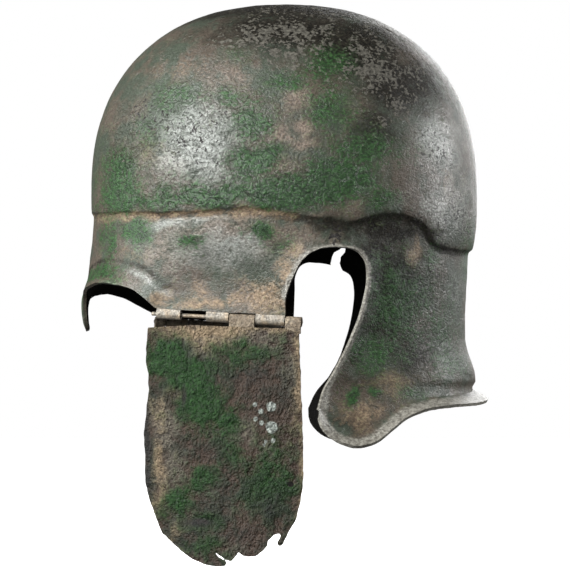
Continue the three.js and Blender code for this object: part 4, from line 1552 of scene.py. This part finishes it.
@dataclass
class CheekGuard:
    """A hanging cheek guard: a bulged, crusted sheet with torn and worn edges.

    Places on it are given along the hinge and down from it.
    """

    frame: HingeFrame
    outline: Rows
    hang: float
    damaged: bool
    cell: float = 1.05
    margin: float = 1.5
    line_step: float = 0.35
    sheet: float = 1.4
    rim: float = 1.9
    rim_ease: Span = (0.8, 2.6)
    bulge: float = 5.0
    middle: float = 38.0
    half_width: float = 46.0
    bulge_full: float = 60.0
    face: float = 2.15
    jag: float = 0.35
    loose: Span = (8.0, 20.0)
    nail_hole: tuple[float, float, float] = (76.9, 96.0, 1.7)
    hole_sides: int = 24
    bead: float = 0.55
    bead_along: Span = (76.0, 80.0)
    bead_down: tuple[Span, Span] = ((8.0, 20.0), (118.0, 126.0))
    bead_gap: Span = (1.6, 3.2)
    strip_depth: float = 0.9
    strip_along: Span = (-4.5, -2.8)
    strip_down: tuple[Span, Span] = ((47.0, 51.0), (103.0, 108.0))
    lens_depth: float = 1.6
    lens_along: tuple[Span, Span] = ((9.0, 13.0), (32.0, 37.0))
    lens_line: tuple[float, float, float, float] = (23.0, 116.0, 0.08, 2.2)
    ledge_height: float = 0.7
    ledge_along: Span = (9.0, 14.0)
    ledge_down: tuple[Span, Span] = ((36.8, 38.0), (44.0, 60.0))
    crack_depth: float = 0.9
    crack_width: float = 0.9
    cracks: Rows = ((47.0, 62.0, 7.0, 0.1), (16.0, 44.0, 4.0, 2.2))
    crust_waves: Rows = ((0.34, 16.0, 0.0), (0.32, 5.0, 3.0), (0.28, 2.2, 6.0))
    blisters: tuple[float, float, float, Span] = (0.3, 6.0, 11.0, (0.25, 0.6))
    pits: tuple[float, float, float, Span] = (-0.4, 4.0, 15.0, (0.45, 0.7))
    calm_rim: float = 0.45
    calm_ease: Span = (0.8, 5.0)
    green_all_over: float = 0.05
    rim_tan: float = 0.1
    rim_tan_ease: Span = (0.5, 2.5)
    green: Stains = Stains((
        (5, 24, 12, 1.0, 14), (20, 34, 16, 0.9, 10), (26, 48, 14, 1.0, 14), (38, 62, 14, 0.7, 12),
        (2, 58, 6, 0.3), (50, 22, 20, 0.55, 10), (44, 76, 12, 0.5), (26, 92, 12, 0.7, 12),
        (26, 118, 14, 0.75, 5), (64, 98, 18, 0.8, 20), (14, 104, 12, 0.6, 14), (72, 76, 12, 0.45, 12),
        (30, 132, 14, 0.45, 8), (72, 14, 10, 0.3, 6), (4, 112, 6, 0.5, 10),
    ))
    # Brown-black corrosion, and painted shade on the turned-in strip along the front edge.
    dark_and_shade: Stains = Stains((
        (56, 36, 20, 0.4, 14), (66, 108, 18, 0.45, 14), (24, 118, 12, 0.8, 3),
        (16, 46, 1.8, 0.6, 8), (30, 78, 14, 0.35, 10),
        (48, 96, 16, 0.35, 14), (-7.6, 58, 2.6, 0.9, 10), (-8, 74, 2.8, 0.9, 14),
        (-7.6, 94, 2.6, 0.8, 12), (48, 124, 20, 0.35, 8), (74, 48, 8, 0.3, 12),
    ), wander=1.5)
    tan: Stains = Stains((
        (1, 58, 6, 0.45, 14), (0, 84, 4, 0.55, 18), (2, 104, 6, 0.5, 12), (84, 50, 4, 0.6, 30),
        (84, 95, 4, 0.6, 24), (30, 10, 28, 0.9, 5), (34, 15, 16, 0.5, 7), (84, 20, 6, 0.5, 14),
        (12, 8, 16, 0.5, 4), (70, 8, 16, 0.45, 4), (12, 44, 8, 0.35, 5), (44, 62, 10, 0.25, 4),
        (78, 64, 6, 0.3, 20), (10, 122, 6, 0.35, 8),
    ), wander=3.0)
    grey: Stains = Stains((
        (4, 62, 10, 0.8, 16), (8, 90, 12, 0.6, 18), (40, 12, 40, 0.8, 9), (48, 66, 14, 0.6, 9),
        (30, 20, 16, 0.5, 9), (66, 78, 14, 0.4, 10), (30, 100, 14, 0.35, 8), (50, 110, 18, 0.3, 8),
        (14, 116, 10, 0.5, 8), (40, 130, 20, 0.3, 8), (78, 30, 10, 0.4, 16),
    ))
    lime: Stains = Stains((
        (57.6, 51, 1.8, 0.9), (66.9, 52.5, 3.4, 0.95), (60.8, 54.8, 2.0, 0.9), (58.1, 59.2, 1.8, 0.9),
        (61.2, 61.5, 2.0, 0.9), (66.9, 64, 4.0, 1.0), (67.5, 71.4, 1.8, 0.9), (63.5, 71.9, 1.5, 0.8),
        (62.4, 73.9, 1.3, 0.8),
    ), wander=0.3)

    def edge_line(self) -> np.ndarray:
        """The sheet's outline in even steps, worn where metal is lost.

        Returns:
            Rows of along and down.
        """
        chain = even_steps(np.array([*self.outline, self.outline[0]], float), self.line_step)
        spots = np.column_stack([chain, np.zeros(len(chain))])
        loose = smooth_between(chain[:, 1], *self.loose)
        shift_along = relief(spots, ((self.jag, 3.0, 1.7), (self.jag, 9.0, 4.2)))
        shift_down = relief(spots, ((self.jag, 3.0, 8.3),))
        return chain + np.column_stack([shift_along * loose, shift_down * loose])

    def build(self) -> bpy.types.Object:
        """Makes the guard.

        Returns:
            The piece, in its place.
        """
        bm = bmesh.new()
        line = self.edge_line()
        low, high = line.min(axis=0) - self.margin, line.max(axis=0) + self.margin
        across, down = (round(length / self.cell) for length in high - low)
        bmesh.ops.create_grid(bm, x_segments=across, y_segments=down, size=0.5)
        flat = read_places(bm)
        spread = flat.max(axis=0) - flat.min(axis=0)
        share = (flat - flat.min(axis=0))[:, :2] / spread[:2]
        flat[:, 0] = low[0] + share[:, 0] * (high[0] - low[0])
        flat[:, 1] = -low[1] - (1 - share[:, 1]) * (high[1] - low[1])
        write_places(bm, flat)
        centres = np.array([f.calc_center_median()[:2] for f in bm.faces]) * (1, -1)
        keep = inside_outline(centres, line)
        if self.damaged:
            x, y, radius = self.nail_hole
            keep &= np.hypot(centres[:, 0] - x, centres[:, 1] - y) > radius
            turn = np.linspace(0, 2 * math.pi, self.hole_sides, endpoint=False)
            ring = np.column_stack([x + radius * np.cos(turn), y - radius * np.sin(turn)])
            line = np.vstack([line, ring])
        edge = np.column_stack([line * (1, -1), np.zeros(len(line))])
        rim = trim_to_outline(bm, keep, edge, np.empty((0, 3)), rounds=4)
        smooth(bm, rings_inside(rim, 3), 3)
        self.shape(bm, tree_of(edge))
        self.frame.place(bm, along_pin=False, swing=self.hang)
        finishes = [CRUSTED_PATINA.build(), INNER_OXIDE_AND_SHADE.build()]
        return finish_mesh(f"cheek_guard_{self.frame.side.name.lower()}", bm, finishes, self.rim)

    def shape(self, bm: bmesh.types.BMesh, edges: KDTree) -> None:
        """Bulges the flat sheet, turns its edges and lays its crust and its stains on.

        Args:
            bm: The flat sheet, with x along and y up.
            edges: Finds the nearest place of its outline.
        """
        flat = read_places(bm)
        near = np.array([edges.find(place)[2] for place in flat.tolist()])
        along, down = flat[:, 0], -flat[:, 1]
        across = (along - self.middle) / self.half_width
        height = self.bulge * (1 - across**2) * smooth_between(down, 0.0, self.bulge_full)
        bead = smooth_between(along, *self.bead_along) * within(down, *self.bead_down)
        height += self.bead * bead * (1 - smooth_between(near, *self.bead_gap))
        if self.damaged:
            height += self.damage(along, down)
        crust = relief(flat, self.crust_waves)
        for tall, size, seed, ease in (self.blisters, self.pits):
            crust += tall * smooth_between(unevenness(flat, size, seed), *ease)
        calm = self.calm_rim + (1 - self.calm_rim) * smooth_between(near, *self.calm_ease)
        flat[:, 2] = self.face + height + crust * calm
        write_places(bm, flat)
        seen = np.column_stack([flat[:, 2], along, down])
        at_rim = 1 - smooth_between(near, *self.rim_tan_ease)
        add_marks(bm, {
            "green": self.green.at(seen) + self.green_all_over,
            "dark_and_shade": self.dark_and_shade.at(seen),
            "grey": self.grey.at(seen),
            "tan": self.tan.at(seen) + self.rim_tan * at_rim,
            "lime": self.lime.at(seen) if self.damaged else np.zeros(len(flat)),
        })
        thin_inside(bm, near, self.sheet / self.rim, self.rim_ease)

    def damage(self, along: np.ndarray, down: np.ndarray) -> np.ndarray:
        """The front edge's turned-in strip, a ledge, a lens-shaped dent and two cracks.

        Args:
            along: Places along the hinge.
            down: Places down from it.

        Returns:
            How far the sheet stands out there.
        """
        strip = (1 - smooth_between(along, *self.strip_along)) * within(down, *self.strip_down)
        ledge = (1 - smooth_between(along, *self.ledge_along)) * within(down, *self.ledge_down)
        x, y, slope, width = self.lens_line
        lens = bell(down - y - slope * (along - x), width) * within(along, *self.lens_along)
        height = self.ledge_height * ledge - self.strip_depth * strip - self.lens_depth * lens
        for x, y, long, slope in self.cracks:
            gone = (down - y - slope * (along - x)) / math.hypot(1, slope)
            height -= self.crack_depth * bell(gone, self.crack_width) * bell(along - x, long)
        return height


@dataclass
class Hinge:
    """One side's hinge: a worn rod through knuckles rolled from the two sheets."""

    frame: HingeFrame
    cheek_spans: Rows
    rod_span: Span
    tab_spans: Rows = ((0, 14), (29.2, 42.2), (57.9, 74.6))
    roll_radius: float = 2.24
    roll_turn: float = 290.0
    strip: float = 1.36
    tail: float = 6.5
    tail_steps: int = 4
    dive: float = 1.6
    overlap: float = 0.02
    sides: int = 24
    cell: float = 1.1
    knuckle_wear: Rows = ((0.1, 3.0, 2.0),)
    knuckle_loss: float = 0.06
    rod_radius: float = 1.2
    rod_sides: int = 16
    rod_cell: float = 2.0
    rod_bevel: float = 0.35
    rod_shrink: float = 0.04
    rod_wear: Rows = ((0.05, 4.0, 1.0),)
    rod_loss: float = 0.03
    sharp: float = 50.0

    def strip_path(self) -> list[Span]:
        """Draws a knuckle's section: its tail in the sheet, then its roll.

        Returns:
            Places as out and up.
        """
        path = []
        for step in range(self.tail_steps):
            left = 1 - step / self.tail_steps
            out = self.roll_radius - self.overlap - self.dive * left**1.5
            path.append((out, self.tail * left))
        for step in range(self.sides + 1):
            turn = math.radians(-self.roll_turn * step / self.sides)
            path.append((self.roll_radius * math.cos(turn), self.roll_radius * math.sin(turn)))
        return path

    def knuckles(self, name: str, spans: Rows, upward: bool, finish: Patina) -> bpy.types.Object:
        """Makes rolled knuckles whose tails run into a sheet.

        Args:
            name: Name of the piece.
            spans: Stretches along the pin.
            upward: Whether the tails go up into the tab or down into the cheek guard.
            finish: The finish of the sheet that they are rolled from.

        Returns:
            The piece, in its place.
        """
        bm = bmesh.new()
        sign = 1 if upward else -1
        for start, end in spans:
            chain = [bm.verts.new((start, sign * up, out)) for out, up in self.strip_path()]
            edges = [bm.edges.new(pair) for pair in zip(chain[:-1], chain[1:])]
            count = max(3, round((end - start) / self.cell))
            for _ in range(count):
                made = bmesh.ops.extrude_edge_only(bm, edges=edges)["geom"]
                fresh = {g for g in made if isinstance(g, bmesh.types.BMVert)}
                edges = [g for g in made if isinstance(g, bmesh.types.BMEdge)
                         and fresh.issuperset(g.verts)]
                bmesh.ops.translate(bm, verts=list(fresh), vec=((end - start) / count, 0, 0))
        turn_away(bm, Vector((0, 1, 1)))
        rolled = read_places(bm)
        shift = self.strip / 2 + relief(rolled, self.knuckle_wear) - self.knuckle_loss
        write_places(bm, rolled + read_normals(bm) * shift[:, None])
        self.frame.place(bm)
        return finish_mesh(name, bm, [finish.build()], self.strip, sharp=self.sharp)

    def rod(self, name: str) -> bpy.types.Object:
        """Makes the pin, with rounded, slightly hammered ends.

        Args:
            name: Name of the piece.

        Returns:
            The piece, in its place.
        """
        bm = bmesh.new()
        start, end = self.rod_span
        radius = self.rod_radius - self.rod_shrink
        ring = bmesh.ops.create_circle(bm, cap_ends=True, segments=self.rod_sides, radius=radius)
        turn = Matrix.Rotation(math.radians(90), 4, "Y")
        bmesh.ops.transform(bm, matrix=Matrix.Translation((start, 0, 0)) @ turn, verts=ring["verts"])
        faces = list(bm.faces)
        count = round((end - start) / self.rod_cell)
        for step in range(count):
            made = bmesh.ops.extrude_face_region(bm, geom=faces)["geom"]
            if step:
                bmesh.ops.delete(bm, geom=faces, context="FACES_ONLY")
            fresh = [g for g in made if isinstance(g, bmesh.types.BMVert)]
            faces = [g for g in made if isinstance(g, bmesh.types.BMFace)]
            bmesh.ops.translate(bm, verts=fresh, vec=((end - start) / count, 0, 0))
        bmesh.ops.recalc_face_normals(bm, faces=bm.faces)
        rims = [e for e in bm.edges if e.calc_face_angle(0) > 1.0]
        bmesh.ops.bevel(bm, geom=rims, offset=self.rod_bevel, segments=2, profile=0.5,
                        affect="EDGES", material=-1)
        even = read_places(bm)
        shift = relief(even, self.rod_wear) - self.rod_loss
        write_places(bm, even + read_normals(bm) * shift[:, None])
        self.frame.place(bm)
        return finish_mesh(name, bm, [WORN_BRONZE.build()], sharp=self.sharp)


@dataclass
class Studio:
    """A pale floor, soft lights and the camera."""

    distance: float = 1300.0
    elevation: float = math.radians(-3.0)
    yaw: float = math.radians(1.0)
    mm_per_pixel: float = 0.6
    floor_z: float = -0.37
    floor_half: float = 6.0
    floor_colour: str = "#f4f4f4"
    floor_roughness: float = 0.9
    floor_glow: float = 0.95
    surround: float = 1.0
    fill: float = 0.14
    lights: tuple[tuple[str, tuple[float, float, float], float, float], ...] = (
        ("key", (1.25, -1.2, 0.6), 0.75, 84.0),
        ("rear", (-0.13, 1.82, 0.3), 0.5, 34.0),
        ("front", (0.3, -1.7, -0.1), 0.9, 14.0),
        ("far_side", (-1.5, 0.7, 0.5), 1.0, 14.0),
    )

    def build(self) -> None:
        """Sets the floor, the lights, the sky and the camera."""
        self.floor()
        self.light()
        self.sky()
        self.camera()

    def floor(self) -> None:
        """Lays a matt white floor that glows, so that it meets the surround without a line."""
        bm = bmesh.new()
        bmesh.ops.create_grid(bm, x_segments=1, y_segments=1, size=self.floor_half)
        bmesh.ops.translate(bm, verts=bm.verts, vec=(0, 0, self.floor_z))
        mesh = bpy.data.meshes.new("floor")
        bm.to_mesh(mesh)
        bm.free()
        floor = bpy.data.objects.new("floor", mesh)
        floor.visible_diffuse = False
        floor.visible_glossy = False
        bpy.context.scene.collection.objects.link(floor)
        paint = bpy.data.materials.new("matt_white_paint")
        paint.use_nodes = True
        paint.node_tree.nodes.clear()
        shader = add_node(paint.node_tree, "BsdfPrincipled", None, {
            "Base Color": linear(self.floor_colour), "Roughness": self.floor_roughness,
            "Emission Color": WHITE, "Emission Strength": self.floor_glow,
        })
        add_node(paint.node_tree, "OutputMaterial", None, {"Surface": shader})
        mesh.materials.append(paint)

    def light(self) -> None:
        """Hangs the soft lights, each turned to the helmet."""
        for name, place, size, power in self.lights:
            data = bpy.data.lights.new(name, "AREA")
            data.size = size
            data.energy = power
            lamp = bpy.data.objects.new(name, data)
            lamp.location = place
            aim = CENTRE * MM - Vector(place)
            lamp.rotation_euler = aim.to_track_quat("-Z", "Y").to_euler()
            bpy.context.scene.collection.objects.link(lamp)

    def sky(self) -> None:
        """Gives a white surround that lights the helmet only a little."""
        world = bpy.data.worlds.new("surround")
        bpy.context.scene.world = world
        world.use_nodes = True
        tree = world.node_tree
        tree.nodes.clear()
        seen, fill = (
            add_node(tree, "Background", None, {"Color": WHITE, "Strength": strength})
            for strength in (self.surround, self.fill)
        )
        by_camera = add_node(tree, "LightPath", output="Is Camera Ray")
        mixed = add_node(tree, "MixShader", None, {0: by_camera, 1: fill, 2: seen})
        add_node(tree, "OutputWorld", None, {"Surface": mixed})
        bpy.context.scene.view_settings.view_transform = "Standard"

    def camera(self) -> None:
        """Places the camera on the wearer's left, low and nearly square on."""
        flat = math.cos(self.elevation)
        way = Vector((
            math.cos(self.yaw) * flat, -math.sin(self.yaw) * flat, math.sin(self.elevation)
        ))
        data = bpy.data.cameras.new("camera")
        data.sensor_width = SENSOR
        data.lens = self.distance / self.mm_per_pixel * SENSOR / IMAGE_SIDE
        camera = bpy.data.objects.new("camera", data)
        camera.location = (CENTRE + way * self.distance) * MM
        camera.rotation_euler = (-way).to_track_quat("-Z", "Y").to_euler()
        bpy.context.scene.collection.objects.link(camera)
        bpy.context.scene.camera = camera


@dataclass(frozen=True)
class SideSizes:
    """What differs between the two sides: the guard's outline and hang, and the hinge's spans."""

    outline: Rows
    hang: float
    cheek_spans: Rows
    rod_span: Span


# The left guard is torn below and has lost two of its knuckles. The right one is whole.
LEFT_SIZES = SideSizes(
    outline=(
        (-5.3, 7.6), (-5.5, 11), (-6.3, 20), (-6.4, 29), (-5.3, 33.8), (-4.9, 42.9), (-5.6, 47.4),
        (-6.8, 52), (-8.1, 61.1), (-8.8, 65.7), (-9, 74.8), (-8.5, 79.3), (-8.7, 93), (-8.2, 97.6),
        (-7.1, 102.1), (-5.4, 106.7), (-3.7, 111.2), (-2, 115.8), (-0.3, 120.3), (2, 124.8),
        (7.8, 129.3), (12.5, 133.8), (19.4, 138.2), (27.6, 141.5), (32.8, 142.3), (38.6, 142.3),
        (39.3, 140.2), (38.7, 139.5), (34.5, 136.9), (32, 133.4), (35, 135.4), (38.7, 138.2),
        (42.2, 139.3), (45.4, 136.1), (46.9, 133.8), (49.5, 136.1), (52.7, 136.6), (56.7, 136.3),
        (60.8, 133.5), (63.2, 130.4), (63.7, 127.4), (67.3, 124.3), (69.4, 123.4), (71, 124.2),
        (69.3, 127.9), (68.8, 129.8), (70.5, 130.8), (72.4, 129.3), (75.6, 122.2), (79.8, 115.1),
        (81.9, 107.1), (83.6, 97), (84, 87), (84.1, 67.1), (83.4, 46.9), (83.2, 26.7), (82.4, 9.4),
        (75, 8.8), (58, 8.1), (42, 7.3), (20, 6.4),
    ),
    hang=4.3506,
    cheek_spans=((42.8, 57.3), (75.2, 84.0)),
    rod_span=(-3.4, 84.6),
)
RIGHT_SIZES = SideSizes(
    outline=(
        (-6, 4.2), (-6.8, 22), (-7.4, 40), (-8.6, 66), (-8.6, 80), (-8.2, 92), (-6, 103),
        (-2.8, 112), (2, 120.8), (8, 128), (14.6, 133.2), (22, 137), (30, 139.3), (38, 140),
        (46, 139.2), (54, 137), (61.5, 132.8), (68, 127), (73.6, 120), (79, 112), (82.4, 102),
        (84.1, 90), (83.9, 70), (82.9, 50), (81.6, 8.9), (60, 7.6), (40, 6.4), (20, 5.1),
    ),
    hang=4.4589,
    cheek_spans=((-7.0, -0.6), (14.6, 28.6), (42.8, 57.3), (75.2, 82.0)),
    rod_span=(-7.8, 82.8),
)


@dataclass
class Helmet:
    """The whole helmet: its shell, two cheek guards and their hinges."""

    form: HelmetForm = field(default_factory=HelmetForm)

    def build(self) -> None:
        """Builds every piece, replaces its solid and rides it on its body."""
        shell = HelmetShell(self.form).build()
        self.settle(shell, "helmet", "helmet_shell")
        for side, sizes in ((Side.LEFT, LEFT_SIZES), (Side.RIGHT, RIGHT_SIZES)):
            word = side.name.lower()
            cheek_body = f"cheek_{word}"
            frame = HingeFrame(side)
            guard = CheekGuard(frame, sizes.outline, sizes.hang, damaged=side is Side.LEFT)
            self.settle(guard.build(), cheek_body, f"cheek_guard_{word}")
            hinge = Hinge(frame, sizes.cheek_spans, sizes.rod_span)
            tab = hinge.knuckles(f"tab_knuckles_{word}", hinge.tab_spans, True, WORN_BRONZE)
            self.settle(tab, "helmet")
            cheek = hinge.knuckles(
                f"cheek_knuckles_{word}", hinge.cheek_spans, False, ROLLED_CRUST
            )
            self.settle(cheek, cheek_body)
            rod = hinge.rod(f"hinge_rod_{word}")
            self.settle(rod, "helmet", f"hinge_pin_{word}")

    def settle(self, piece: bpy.types.Object, body: str, node: str = "") -> None:
        """Rides a piece on its body, hides the solid that it stands for and logs its faces.

        Args:
            piece: The finished piece.
            body: The body that it moves with.
            node: The solid that it replaces, if any.
        """
        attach(piece, body)
        if node:
            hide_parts(node)
        LOG.info("%s: %d faces on %s", piece.name, len(piece.data.polygons), body)


def main() -> None:
    """Loads the frame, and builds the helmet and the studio."""
    logging.basicConfig(level=logging.INFO, format="%(name)s %(message)s")
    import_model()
    Helmet().build()
    Studio().build()


if __name__ == "__main__":
    main()
